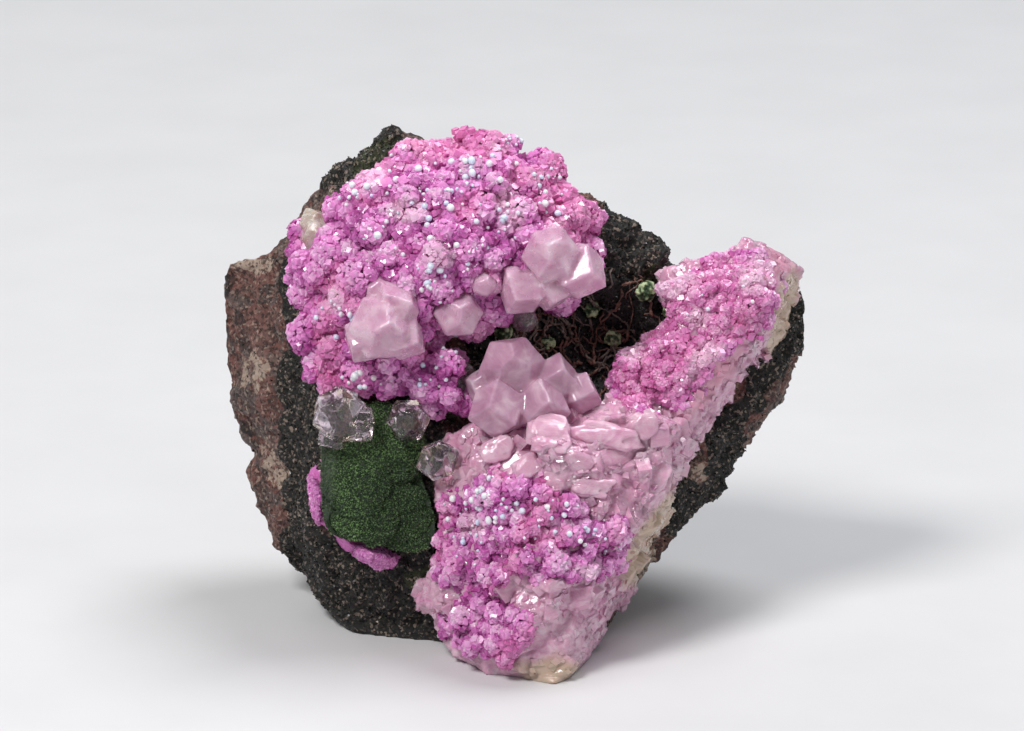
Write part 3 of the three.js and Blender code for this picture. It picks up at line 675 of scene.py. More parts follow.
def lower_material():
    n = Nodes("massive pale calcite")
    c = colours()
    veils = n.noise(1.6 * MM, 6, 0.65, 1.6, (20, 35, 10, 1, 0.35, 1.3))
    cloud = n.noise(4.0 * MM, 4, 0.55)
    tone = n.attribute("tone")
    ice = n.ramp(veils, [(0.32, c.ice_deep), (0.5, c.ice), (0.68, c.ice_pale)])
    ice = n.mix(n.maths("MULTIPLY", n.between(cloud, 0.45, 0.7), 0.55), ice, c.ice_deep)
    ice = n.mix(n.maths("MULTIPLY", tone, 0.3), ice, c.ice_pale)
    ice = n.mix(n.attribute("cream"), ice, c.ice_cream)
    ice = n.mix(n.attribute("blush"), ice, c.ice_blush)
    lines = n.noise(0.35 * MM, 3, 0.5, 0.4, (15, 50, 30, 0.25, 1, 2.6))
    wavy = n.bump(lines, 0.07 * MM, 0.7)
    n.set(
        base_color=ice,
        roughness=n.ramp(n.noise(0.9 * MM, 3), [(0.36, 0.04), (0.66, 0.24)]),
        ior=1.55,
        transmission_weight=0.25,
        coat_weight=0.4,
        coat_roughness=0.05,
        subsurface_weight=0.4,
        subsurface_radius=(1.0, 0.6, 0.75),
        subsurface_scale=0.6 * MM,
        normal=n.bump(n.cells(1.3 * MM, "DISTANCE_TO_EDGE"), 0.05 * MM, 0.35, wavy),
    )
    return n.material


def milky_material(name, clearness):
    n = Nodes(name)
    c = colours()
    veils = n.noise(1.9 * MM, 4, 0.5, 0.7, (30, 20, 50, 1, 0.45, 1.3))
    colour = n.ramp(veils, [(0.3, c.milky_deep), (0.5, c.milky), (0.7, c.milky_pale)])
    steps = n.cells(1.0 * MM, "F2", stretch=(10, 40, 20, 1, 0.5, 1))
    dullness = [(0.38, 0.26 - 0.25 * clearness), (0.66, 0.4 - 0.3 * clearness)]
    n.set(
        base_color=colour,
        roughness=n.ramp(n.noise(1.2 * MM, 3), dullness),
        ior=1.5,
        transmission_weight=n.ramp(veils, [(0.3, 1.2 * clearness), (0.7, 0.8 * clearness)]),
        subsurface_weight=0.6,
        coat_weight=0.3,
        coat_roughness=0.08,
        subsurface_radius=(1.0, 0.62, 0.75),
        subsurface_scale=1.8 * MM,
        normal=n.bump(steps, 0.02 * MM, 0.15),
    )
    return n.material


def clear_material():
    n = Nodes("clear crystal")
    veils = n.between(n.noise(1.2 * MM, 4, 0.55, 1.4, (40, 15, 30, 1, 0.4, 1.5)), 0.58, 0.7)
    hairs = n.between(n.noise(0.45 * MM, 5, 0.6, 0.8, (30, 60, 20, 1, 0.3, 2.2)), 0.6, 0.68)
    inside = n.mix(veils, (0.96, 0.86, 0.93), (0.78, 0.5, 0.68))
    inside = n.mix(n.between(n.noise(2.2 * MM, 2), 0.52, 0.62), inside, (0.8, 0.74, 0.54))
    n.set(
        base_color=n.mix(n.maths("MULTIPLY", hairs, 0.7), inside, (0.3, 0.24, 0.28)),
        roughness=n.ramp(veils, [(0.0, 0.06), (1.0, 0.25)]),
        ior=1.5,
        transmission_weight=n.ramp(veils, [(0.0, 0.97), (1.0, 0.45)]),
    )
    n.absorb((0.88, 0.74, 0.82), 60.0)
    return n.material


def smoky_material():
    n = Nodes("smoky crystal")
    veils = n.between(n.noise(0.7 * MM, 5, 0.6, 1.0), 0.45, 0.7)
    n.set(
        base_color=n.mix(veils, (0.6, 0.56, 0.55), (0.42, 0.37, 0.35)),
        roughness=n.ramp(veils, [(0.0, 0.05), (1.0, 0.3)]),
        ior=1.6,
        transmission_weight=0.75,
        normal=n.bump(n.cells(0.6 * MM, "F2"), 0.05 * MM, 0.5),
    )
    n.absorb((0.6, 0.52, 0.46), 160.0)
    return n.material


def cream_material():
    n = Nodes("cream crystal")
    c = colours()
    veils = n.noise(1.0 * MM, 5, 0.6, 1.0)
    n.set(
        base_color=n.ramp(veils, [(0.35, c.cream_deep), (0.62, c.cream)]),
        roughness=n.ramp(veils, [(0.35, 0.12), (0.65, 0.35)]),
        ior=1.6,
        transmission_weight=0.4,
        subsurface_weight=0.5,
        subsurface_radius=(1.0, 0.8, 0.6),
        subsurface_scale=1.2 * MM,
        normal=n.bump(n.noise(0.4 * MM, 4), 0.03 * MM, 0.6),
    )
    return n.material


def bead_material():
    n = Nodes("pale beads")
    c = colours()
    n.set(
        base_color=n.mix(n.attribute("tone"), c.bead_white, c.bead_blue),
        roughness=n.ramp(n.noise(0.2 * MM, 3), [(0.4, 0.2), (0.7, 0.42)]),
        subsurface_weight=0.5,
        subsurface_radius=(0.8, 0.9, 1.0),
        subsurface_scale=0.5 * MM,
        normal=n.bump(n.noise(0.1 * MM, 3), 0.01 * MM, 0.4),
    )
    return n.material


def malachite_material(name, light):
    n = Nodes(name)
    c = colours()
    tip = n.attribute("tip")
    tone = n.attribute("tone")
    patches = n.noise(3.0 * MM, 4, 0.55)
    fine = n.noise(0.16 * MM, 4, 0.7)
    # Painted sheen: tuft tips and standing grains are paler, their bases take the painted shade of the deep
    # colour
    height = n.maths("MULTIPLY", n.maths("ADD", tip, tone), 0.35)
    grain_and_painted_sheen = n.maths("ADD", n.maths("MULTIPLY", fine, 0.3), height)
    colour = n.ramp(grain_and_painted_sheen, [(0.25, c.malachite_deep_and_shade), (0.45, c.malachite), (0.72, light)])
    colour = n.mix(n.maths("MULTIPLY", n.between(patches, 0.5, 0.7), 0.35), colour, c.malachite_deep_and_shade)
    # Painted shade round the plates and over the low lobes
    colour = n.mix(n.attribute("shade"), colour, c.malachite_deep_and_shade)
    colour = n.mix(n.attribute("bevel"), colour, c.malachite_grey)
    n.set(
        base_color=colour,
        roughness=0.62,
        sheen_weight=0.08,
        sheen_roughness=0.4,
        sheen_tint=(0.35, 0.75, 0.4, 1),
        normal=n.bump(fine, 0.05 * MM, 0.8),
    )
    return n.material


def lining_material():
    n = Nodes("black lining of the hollow")
    c = colours()
    flecks = n.noise(0.3 * MM, 6, 0.75)
    colour = n.ramp(flecks, [(0.42, (0.004, 0.004, 0.004)), (0.6, c.lining), (0.74, c.lining_brown)])
    n.set(
        base_color=colour,
        roughness=n.ramp(n.noise(0.5 * MM, 3), [(0.35, 0.22), (0.7, 0.7)]),
        normal=n.bump(n.noise(0.2 * MM, 6, 0.75), 0.15 * MM, 1.0),
    )
    return n.material


def twig_material():
    n = Nodes("root-like twigs")
    c = colours()
    streaks = n.noise(0.35 * MM, 5, 0.7)
    red = n.ramp(streaks, [(0.36, c.twig_dark), (0.62, c.twig_red)])
    grey = n.ramp(streaks, [(0.36, c.twig_dark), (0.66, c.twig_grey)])
    n.set(
        base_color=n.mix(n.between(n.attribute("tone"), 0.45, 0.6), red, grey),
        roughness=n.ramp(streaks, [(0.35, 0.3), (0.65, 0.6)]),
        normal=n.bump(n.noise(0.12 * MM, 5, 0.7), 0.06 * MM, 0.9),
    )
    return n.material


# The host rock

DARK_ZONES = [
    (-21.6, 28, 2.6, 16, 0),
    (-14.5, 8.6, 9.5, 6.2, -28),
    (-20.5, 12.5, 3.6, 4.5, 20),
    (-6.5, 6.5, 4.5, 4.5, 0),
    (11.5, 43.8, 5.5, 5.0, 0),
    (7.0, 35.5, 11.5, 9.0, 15),
    (-15.5, 52.5, 4.5, 2.6, 35),
    (27.5, 36.5, 3.0, 4.0, 0),
    (19.5, 16.5, 2.0, 7.0, -30),
    (-8.6, 19.5, 2.0, 9.0, 0),
    (-9.5, 29.0, 3.0, 3.0, 0),
    (25.6, 31.5, 2.2, 5.0, -28),
    (21.5, 24.5, 1.8, 3.6, -35),
    (17.0, 17.5, 1.6, 3.0, -35),
]
CREAM_ZONES = [
    (-26.0, 42.2, 2.2, 1.1, 20),
    (-24.0, 20.2, 0.9, 3.3, 20),
    (-22.2, 17.6, 0.8, 3.0, 25),
    (-22.9, 22.2, 1.3, 0.9, 0),
    (-26.7, 30.5, 0.5, 2.2, -10),
    (-17.2, 46.4, 1.6, 1.0, 30),
    (-13.6, 6.8, 0.7, 1.3, 0),
    (-10.6, 4.6, 1.2, 0.5, 0),
    (-18.4, 9.4, 0.6, 1.0, 20),
    (18.9, 20.2, 0.8, 2.3, -35),
    (13.4, 10.5, 0.8, 1.8, -30),
]
MOSS_ZONES = [(-14.0, 53.0, 3.5, 1.8, 30), (-8.5, 9.5, 3.5, 2.0, -20), (13.5, 41.0, 1.6, 1.2, 0)]
BLUSH_ZONES = [
    (-26.0, 34.0, 1.6, 5.0, 0),
    (-12.0, 1.6, 7.5, 2.0, -12),
    (-24.0, 13.0, 2.0, 4.5, 30),
    (-16.0, 50.0, 3.0, 1.2, 45),
]


def rock_attributes(verts):
    """Where the rock is dark, cream, mossy and blushed, seen from the front and fading behind."""
    places = face_measures(verts)
    front = smooth_step(places[:, 2], -16, -11)
    return {
        "dark": zone(places, DARK_ZONES, 1.2, 3) * front,
        "cream": zone(places, CREAM_ZONES, 1.5, 5) * front,
        "moss": zone(places, MOSS_ZONES, 0.8, 7) * front,
        "blush": zone(places, BLUSH_ZONES, 1.5, 9) * front,
    }


def push(verts, normals, amounts):
    """Moves a surface along its normals, but nothing that touches the floor."""
    off_floor = smooth_step(verts[:, 2], 0, 1.5 * MM)
    return verts + normals * (amounts * off_floor)[:, None]


def rock_surface():
    """The rock's surface, rougher in its dark bands and reaching out a little at its side rims."""
    s = sizes()
    verts, tris, normals = remeshed("host_rock", s.rock_voxel, 1)
    dark = rock_attributes(verts)["dark"]
    relief = 0.6 * rough_noise(verts, 4.2 * MM, 5, 11, 0.6) * MM
    ridges = 1 - np.abs(rough_noise(verts, 1.5 * MM, 4, 23, 0.6))
    relief += (0.5 + 0.6 * dark) * (ridges - 0.6) * 0.6 * MM
    relief += 0.3 * rough_noise(verts, 0.95 * MM, 2, 29) * MM
    verts = push(verts, normals, relief)
    verts[:, 0] *= 1 + s.rim_reach * smooth_step(np.abs(verts[:, 0]), 18 * MM, 28 * MM)
    return verts, tris


def mostly_dark(middles, outward):
    """Accepts the dark bands of the rock, and a little of the rest, but nothing near the floor."""
    dark = rock_attributes(middles)["dark"]
    return np.where(middles[:, 2] > 1.2 * MM, 0.03 + dark**2, 0)


class MakeRock(bpy.types.Operator):
    """Make the host rock, with its breccia and its sparkling dark bands"""

    bl_idname = "calcite.make_rock"
    bl_label = "Host rock"

    def execute(self, context):
        random = np.random.default_rng(101)
        verts, tris = rock_surface()
        rock = (verts, tris, rock_attributes(verts))
        dressed_piece("host_rock_surface", rock, True, rock_material(), ["host_rock"])
        count = sizes().rock_grains
        grains = sparkling_grains(verts, tris, mostly_dark, count, 1.3, 0.7, random, uneven=True)
        dressed_piece("host_rock_grains", grains, False, grain_material())
        return {"FINISHED"}


# The hollow

CRUST_VOXEL = 0.28 * MM
HOLLOW_GRAINS = 2600
TWIG_STEP = 0.36 * MM
TWIG_WIDTHS = (0.07, 0.2)  # half widths, in millimetres


def winding_path(start, heading, steps, length, surface, random):
    """A twig's line: it winds over the surface, dipping and rising a little."""
    point, direction = Vector(start), Vector(heading)
    line = []
    for _ in range(steps):
        spot, normal, _, _ = surface.find_nearest(point)
        line.append(spot + normal * random.uniform(0.05, 0.75) * MM)
        bend = Vector(random.normal(size=3)) * 0.28
        direction = (direction + bend).normalized()
        direction = (direction - normal * direction.dot(normal)).normalized()
        point = spot + direction * length
    return np.array([list(p) for p in line])


def tube(line, widths, sides=6):
    """A closed tube along a line: vertices and triangles."""
    ahead = unit(np.gradient(line, axis=0))
    helper = np.array((0.3, -0.9, 0.31))
    side = unit(np.cross(ahead, helper))
    other = np.cross(ahead, side)
    turns = np.linspace(0, 2 * math.pi, sides, endpoint=False)
    ring = np.cos(turns)[None, :, None] * side[:, None] + np.sin(turns)[None, :, None] * other[:, None]
    verts = (line[:, None] + ring * widths[:, None, None]).reshape(-1, 3)
    tris = []
    last = len(line) - 1
    for i in range(last):
        for k in range(sides):
            a, b = i * sides + k, i * sides + (k + 1) % sides
            tris += [(a, b, b + sides), (a, b + sides, a + sides)]
    for k in range(1, sides - 1):
        tris.append((0, k + 1, k))
        tris.append((last * sides, last * sides + k, last * sides + k + 1))
    return verts, np.array(tris)


def twigs_over(crust, random):
    """Thin tapering twigs that wind over the front of a crust."""
    surface = touchable(crust)
    starts, _ = spots_on(*crust[:2], sizes().twigs, random, facing(0.2))
    parts = []
    for start in starts:
        heading = 0.6 * FACE_X * random.normal() + FACE_UP * random.choice((-1, 1))
        steps = int(random.integers(9, 20))
        line = winding_path(start, heading, steps, TWIG_STEP, surface, random)
        widths = random.uniform(*TWIG_WIDTHS) * MM * np.linspace(1, 0.5, steps)
        verts, tris = tube(line, widths)
        parts.append((verts, tris, {"tone": np.full(len(verts), random.random())}))
    return joined(parts)


def granular_ball(node, seed):
    """A CAD ball's place filled by a ball of coarse grains, with painted light on the grains that stand out
    and painted shade between them.
    """
    ball_verts, ball_tris, _ = FINE_BALL
    low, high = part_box(node)
    radius = (high - low).length / math.sqrt(12)
    shift = 1 + 0.2 * rough_noise(ball_verts, 0.42, 3, seed)
    shape = node_middle(node) + ball_verts * shift[:, None] * radius
    # Painted light on raised grains, painted shade between them
    tip = smooth_step(shift, 0.85, 1.2)
    return shape, ball_tris, {"tip": tip, "tone": 0.4 + 0.6 * tip}


class MakeHollow(bpy.types.Operator):
    """Make the black lining of the hollow, its twigs, its glinting grains and its malachite balls"""

    bl_idname = "calcite.make_hollow"
    bl_label = "Hollow"

    def execute(self, context):
        random = np.random.default_rng(202)
        verts, tris, normals = remeshed("hollow_lining", CRUST_VOXEL, 1)
        verts = push(verts, normals, 0.35 * MM * rough_noise(verts, 1.1 * MM, 4, 31))
        crust = (verts, tris, {})
        dressed_piece("hollow_crust", crust, True, lining_material(), ["hollow_lining"])
        dressed_piece("hollow_twigs", twigs_over(crust, random), True, twig_material())
        grains = sparkling_grains(verts, tris, facing(0.2), HOLLOW_GRAINS, 1.2, 0.8, random)
        dressed_piece("hollow_grains", grains, False, grain_material())
        material = malachite_material("granular malachite", colours().malachite_ball)
        for i, node in enumerate(BALLS):
            ball = granular_ball(node, 41 + i)
            dressed_piece(f"green_ball_{i + 1}", ball, False, material, [node])
        return {"FINISHED"}


# Crusts of small crystals

BEAD_RADIUS = 0.42  # of the largest beads, in millimetres


def crystal_spheres():
    """The middle and half size of every single crystal and cluster."""
    rows = []
    for node in SINGLE_CRYSTALS:
        low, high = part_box(node)
        rows.append((*node_middle(node), 0.5 * min(high - low)))
    return np.array(rows)


def away_from_crystals(points, share):
    """Whether points lie further from each crystal's middle than this share of its half size."""
    spheres = crystal_spheres()
    gaps = np.linalg.norm(points[:, None] - spheres[None, :, :3], axis=2) / spheres[None, :, 3]
    return gaps.min(axis=1) > share


def grow_lumps(verts, tris, accepts, radii, spacing, grain, tries, random):
    """Lumps of small crystals over the part of a surface that accepts them."""
    spots, outward = spots_on(verts, tris, tries, random, accepts)
    sizes_tried = random.uniform(*radii, tries)
    kept = spread_out(spots, spacing * sizes_tried)
    kept &= spots[:, 2] + 0.85 * sizes_tried < CAD_BOX[1][2]
    return lumps(spots[kept], outward[kept], sizes_tried[kept], grain, random)


def beads_on(part, clusters, random):
    """Round pale beads in small groups on whatever crystals stand highest there."""
    surface = touchable(part)
    middles, radii = [], []
    for x, height, spread, count in clusters:
        for _ in range(count):
            place = (x + spread * 0.5 * random.normal(), height + spread * 0.5 * random.normal(), 30)
            start = Vector(on_face(place))
            hit, _, _, _ = surface.ray_cast(start, Vector(-FACE_OUT))
            if hit is None:
                continue
            radius = BEAD_RADIUS * (0.35 + 0.65 * random.random() ** 2) * MM
            middles.append(np.array(hit) + np.array(FACE_OUT) * radius * 0.35)
            radii.append(radius)
    middles, radii = np.array(middles), np.array(radii)
    count = len(radii)
    stretch = radii[:, None] * random.uniform(0.85, 1.15, (count, 3))
    turns = turned_to(jittered(np.tile(FACE_OUT, (count, 1)), 0.6, random), np.zeros(count))
    return copies(BALL, middles, stretch, turns, random.random(count))


def tinted(part, rosy_zones, pale_zones, rosiness):
    """A druse with the places marked where it is rosier and where it is paler."""
    places = face_measures(part[0])
    part[2]["rosy"] = rosiness * zone(places, rosy_zones, 1.0, 53)
    part[2]["pale"] = zone(places, pale_zones, 0.8, 57)
    return part


def crust_base(node, voxel, swell, seed):
    """The body under a crust's crystals, swollen a little so that no gap shows round it."""
    verts, tris, normals = remeshed(node, voxel, 3)
    relief = swell + 0.22 * MM * rough_noise(verts, 1.4 * MM, 3, seed)
    verts = push(verts, normals, relief)
    # Painted shade: a low tip gives the body the deep colour of the hollows between crystals
    tip = 0.15 + 0.15 * soft_noise(verts, 0.7 * MM, seed + 5)
    return verts, tris, {"tip": tip, "tone": 0.3 + 0.2 * soft_noise(verts, 1.1 * MM, seed + 6)}


# The upper druse

GROUND_CRYSTALS = 3000
CROWN_POINTS = 160
# Ovals on the shown face: (x, height, half width, half rise, turn)
ROSY_ZONES = [(5.4, 48.5, 3.6, 5.0, 10), (-5.5, 54.0, 5.0, 2.2, 0), (-18.5, 33.0, 1.6, 5.0, 0)]
UPPER_PALE_ZONES = [
    (-11.0, 47.5, 2.0, 1.4, 0), (-0.6, 47.0, 1.6, 2.4, 0), (-7.8, 42.6, 1.8, 1.4, 0),
    (-18.0, 38.2, 1.2, 1.0, 0), (-2.6, 40.0, 1.0, 0.9, 0), (-14.2, 50.6, 1.6, 0.9, 30),
    (4.0, 44.6, 1.2, 1.2, 0),
]
# Lumps along the top edge: (x, height, forward, radius)
CROWN_LUMPS = [
    (-9.6, 53.2, 2.2, 1.4), (-7.9, 53.4, 2.4, 1.4), (-6.3, 53.5, 2.6, 1.3), (-4.7, 53.9, 2.8, 1.3),
    (-7.2, 52.0, 3.6, 1.5), (-5.4, 52.3, 3.8, 1.4), (-2.8, 54.2, 2.4, 1.2), (-0.6, 54.0, 3.0, 1.2),
]
# Groups of beads: (x, height, spread, count)
UPPER_BEADS = [
    (0.2, 54.6, 1.7, 16), (-15.7, 49.2, 1.6, 14), (-8.0, 39.4, 1.5, 12), (-16.0, 29.8, 1.8, 16),
    (-4.5, 50.5, 4.0, 26), (-10.5, 45.5, 4.5, 22), (3.5, 49.5, 3.0, 14), (-17.5, 36.5, 2.5, 10),
    (-12.0, 51.0, 3.0, 12), (-2.0, 45.5, 3.5, 18), (-8.5, 31.0, 2.2, 9), (-6.0, 34.6, 2.0, 8),
]


def on_druse_front(middles, outward):
    """Accepts the front of the druse, apart from where the large crystals stand."""
    return (outward @ FACE_OUT > 0.05) * away_from_crystals(middles, 1.0)


def round_druse(middles, outward):
    """Accepts the front and the sides of the druse, closer up to the large crystals."""
    return (outward @ FACE_OUT > -0.45) * away_from_crystals(middles, 0.8)


def on_crown(middles, outward):
    """Accepts the top edge of the druse, where the points still fit under the CAD's top."""
    places = face_measures(middles)
    low_enough = middles[:, 2] < CAD_BOX[1][2] - 0.9 * MM
    return (places[:, 1] > 49) * (outward @ FACE_UP > 0.3) * low_enough * (places[:, 2] > 0)


def upper_ground(base, grain, random):
    """The druse's body with the low lumps and the single crystals that fill the gaps between heads."""
    tries = sizes().upper_tries
    low_lumps = grow_lumps(*base[:2], on_druse_front, (0.5 * MM, 0.9 * MM), 1.7, grain, tries, random)
    # Painted shade: the low lumps take a deeper colour than the heads
    low_lumps[2]["rise"] *= 0.5
    spots, outward = spots_on(*base[:2], GROUND_CRYSTALS, random, round_druse)
    widths = random.uniform(0.6, 1.5, GROUND_CRYSTALS) * grain
    return joined([base, low_lumps, small_crystals(spots, outward, widths, random, 0.4, 0.1)])


def upper_heads(base, grain, random):
    """The druse's large heads, those along its top edge and the small points between these."""
    tries = sizes().upper_tries
    heads = grow_lumps(*base[:2], on_druse_front, (1.1 * MM, 2.4 * MM), 1.6, grain, tries, random)
    crown = np.array(CROWN_LUMPS)
    crown_out = np.tile(unit(FACE_OUT + FACE_UP), (len(crown), 1))
    crown_heads = lumps(on_face(crown[:, :3]), crown_out, crown[:, 3] * MM, grain, random)
    spots, outward = spots_on(*base[:2], CROWN_POINTS, random, on_crown)
    widths = random.uniform(0.28, 0.5, CROWN_POINTS) * MM
    upward = unit(outward + 0.8 * FACE_UP)
    # Painted light: the points along the top edge take a pale, lit colour
    rise = np.full(CROWN_POINTS, 0.8)
    return joined([heads, crown_heads, small_crystals(spots, upward, widths, random, 0.3, -0.7, rise=rise)])


class MakeUpperDruse(bpy.types.Operator):
    """Make the orchid druse over the upper left, lump by lump, with its pale beads"""

    bl_idname = "calcite.make_upper_druse"
    bl_label = "Upper druse"

    def execute(self, context):
        random = np.random.default_rng(303)
        grain = sizes().druse_grain
        base = crust_base("upper_druse", 0.42 * MM, -0.05 * MM, 51)
        material = druse_material()
        ground = tinted(upper_ground(base, grain, random), ROSY_ZONES, UPPER_PALE_ZONES, 1.0)
        dressed_piece("upper_druse_ground", ground, False, material, ["upper_druse"])
        heads = tinted(upper_heads(base, grain, random), ROSY_ZONES, UPPER_PALE_ZONES, 1.0)
        dressed_piece("upper_druse_lumps", heads, False, material)
        beads = beads_on(joined([ground, heads]), UPPER_BEADS, random)
        dressed_piece("upper_beads", beads, True, bead_material())
        return {"FINISHED"}


# The lower calcite and the right arm

BLOCKS = 60
CHIPS = 900
FILLING_CRYSTALS = 1500
# Layers of chips on the mass: (count, slope, depth)
CHIP_LAYERS = [(620, 0.42, 1.0), (3200, 0.3, 0.45)]
# Ovals on the shown face: (x, height, half width, half rise, turn)
DRUSE_POCKETS = [
    (0.5, 15.5, 8.2, 5.2, -8), (-4.5, 12.0, 4.0, 3.6, 0), (7.5, 13.5, 4.0, 3.0, 20),
    (-3.5, 4.5, 4.6, 4.2, 20),
]
ARM_POCKETS = [(20.0, 37.5, 7.4, 4.6, 35), (12.8, 31.0, 3.6, 3.4, 0), (16.8, 31.5, 2.6, 4.0, -20)]
LOWER_PALE_ZONES = [
    (15.6, 39.8, 2.6, 1.9, 0), (12.0, 33.4, 1.4, 1.2, 0), (24.6, 41.0, 2.6, 1.4, 20),
    (19.0, 32.0, 2.4, 1.2, 40), (18.6, 36.6, 1.2, 0.9, 0), (-4.6, 15.6, 1.3, 1.1, 0),
    (7.2, 11.2, 1.6, 0.8, 0),
]
CREAM_EDGES = [(4.0, 0.4, 3.6, 2.4, 0), (14.5, 14.5, 2.2, 6.0, -32), (27.3, 37.0, 1.6, 4.5, -15)]
BLUSH_EDGES = [(25.4, 40.5, 1.6, 3.6, -25), (20.6, 31.0, 1.2, 5.0, -35)]
# Groups of beads: (x, height, spread, count); the last two, on the arm, are painted highlights: beads put
# where the arm only glints
LOWER_BEADS = [
    (-2.5, 17.6, 3.0, 22), (3.5, 16.2, 3.0, 16), (-5.0, 13.5, 2.5, 12), (8.0, 14.5, 2.0, 10),
    (-5.5, 19.3, 1.8, 10), (18.5, 36.5, 3.5, 3), (23.5, 40.5, 2.0, 2),
]
# Rounded glassy tablets along the top of the mass: (x, height, half width, half rise, turn)
TABLETS = [
    (-1.2, 25.3, 2.4, 1.5, 8), (3.3, 25.0, 2.1, 1.9, -20), (9.2, 24.6, 3.6, 1.4, -8),
    (10.6, 22.8, 3.0, 1.6, 15), (12.6, 25.6, 2.0, 1.3, 30), (6.0, 22.2, 2.2, 1.4, -30),
    (-1.6, 23.4, 1.7, 1.2, 20), (-3.6, 22.0, 1.0, 0.9, 0), (14.0, 20.4, 1.2, 2.2, -25),
    (7.4, 19.6, 2.4, 1.0, -5), (1.4, 21.8, 1.6, 1.2, 25),
]


def chipped(verts, tris, normals, count, slope, random):
    """How far each vertex lies out of a surface that is broken into chips, each tilted its own way."""
    sites, _ = spots_on(verts, tris, count, random)
    longer = np.array((0.62, 1.0, 1.25))
    tree = KDTree(count)
    for i, site in enumerate(sites * longer):
        tree.insert(site, i)
    tree.balance()
    own = np.array([tree.find(place)[1] for place in verts * longer])
    tilts = unit(random.normal(size=(count, 3))) * random.uniform(0.4, 1.0, (count, 1)) * slope
    levels = random.uniform(-0.22, 0.22, count) * MM
    away = verts - sites[own]
    away -= normals * (away * normals).sum(axis=1, keepdims=True)
    return (away * tilts[own]).sum(axis=1) + levels[own]


def face_out(outward, across):
    """Rotation matrices that lay a rhomb with one cleavage face outwards."""
    across = unit(across - outward * (across * outward).sum(axis=1, keepdims=True))
    axis = math.cos(RHOMB_TILT) * outward + math.sin(RHOMB_TILT) * across
    first = math.sin(RHOMB_TILT) * outward - math.cos(RHOMB_TILT) * across
    return np.stack((first, np.cross(axis, first), axis), axis=2)


def cleavage_blocks(verts, tris, accepts, count, widths, stretches, random):
    """Blocks that lie parallel within each stretch of the mass, as cleaved calcite does."""
    spots, outward = spots_on(verts, tris, count, random, accepts)
    stretch_out = jittered(outward[:stretches], 0.12, random)
    stretch_across = random.normal(size=(stretches, 3))
    gaps = np.linalg.norm(spots[:, None] - spots[None, :stretches], axis=2)
    nearest = gaps.argmin(axis=1)
    turns = face_out(
        jittered(0.75 * stretch_out[nearest] + 0.25 * outward, 0.03, random),
        stretch_across[nearest],
    )
    half = random.uniform(*widths, count)
    shape = half * random.uniform(0.8, 1.15, count)
    middles = spots - outward * (half * random.uniform(0.93, 1.06, count) - 0.1 * MM)[:, None]
    return copies(RHOMB, middles, shape, turns, random.random(count))


def tablets(part, random):
    """Flat rounded crystals half sunk in a surface."""
    surface = touchable(part)
    points, tris, _ = FINE_BALL
    flat = np.sign(points) * np.abs(points) ** (0.8, 0.8, 0.55)
    parts = []
    for x, height, width, rise, turn in TABLETS:
        hit, normal, _, _ = surface.ray_cast(Vector(on_face((x, height, 40.0))), Vector(-FACE_OUT))
        if hit is None:
            continue
        out = unit(0.5 * np.array(normal) + 0.5 * FACE_OUT)
        across = unit(np.cross(FACE_UP, out))
        up = np.cross(out, across)
        cos, sin = math.cos(math.radians(turn)), math.sin(math.radians(turn))
        axes = np.array((across * cos + up * sin, up * cos - across * sin, out))
        bulge = 0.95 + 0.35 * rough_noise(points + x, 0.9, 3, 97)
        bulge += 0.04 * np.round(3 * soft_noise(points - x, 0.6, 99))
        shape = flat * bulge[:, None] * (width, rise, random.uniform(0.45, 0.75)) * MM
        tone = np.full(len(points), random.random())
        parts.append((np.array(hit) + shape @ axes, tris, {"tone": tone}))
    return joined(parts)


def calcite_mass(random):
    """The pale mass broken into coarse and fine chips."""
    verts, tris, normals = remeshed("lower_calcite", 0.25 * MM, 4)
    relief = 0
    for count, slope, depth in CHIP_LAYERS:
        relief = relief + depth * chipped(verts, tris, normals, count, slope, random)
    relief += (0.12 + 0.35 * soft_noise(verts, 3.6 * MM, 61)) * MM
    verts = push(verts, normals, relief)
    return verts, tris, {"tone": 0.35 + 0.35 * soft_noise(verts, 1.4 * MM, 67)}


def coloured(part):
    """A part of the mass with its cream and its pink edges marked."""
    places = face_measures(part[0])
    part[2]["cream"] = zone(places, CREAM_EDGES, 0.8, 73)
    part[2]["blush"] = zone(places, BLUSH_EDGES, 0.8, 75)
    return part


def in_pockets(middles, outward):
    """Accepts the pockets of the toe that hold druse."""
    fits = (outward @ FACE_OUT > 0.1) * (middles[:, 2] > 2.2 * MM)
    return fits * (zone(face_measures(middles), DRUSE_POCKETS, 1.0, 71) > 0.5)


def on_arm(middles, outward):
    """Accepts the pockets of the right arm that hold druse."""
    return (outward @ FACE_OUT > 0.0) * (zone(face_measures(middles), ARM_POCKETS, 1.2, 77) > 0.5)


def on_bare(middles, outward):
    """Accepts the front of the mass outside the pockets."""
    bare = zone(face_measures(middles), DRUSE_POCKETS + ARM_POCKETS, 1.0, 71) < 0.5
    return (outward @ FACE_OUT > 0.2) * bare * (middles[:, 2] > 0.6 * MM)


def on_ice(middles, outward):
    """Accepts the bare mass that faces the viewer well, apart from the arm."""
    places = face_measures(middles)
    fits = (outward @ FACE_OUT > 0.35) * (middles[:, 2] > 2.2 * MM)
    arm = (places[:, 1] > 24.5) * (places[:, 0] > 15)
    return on_bare(middles, outward) * fits * ~arm


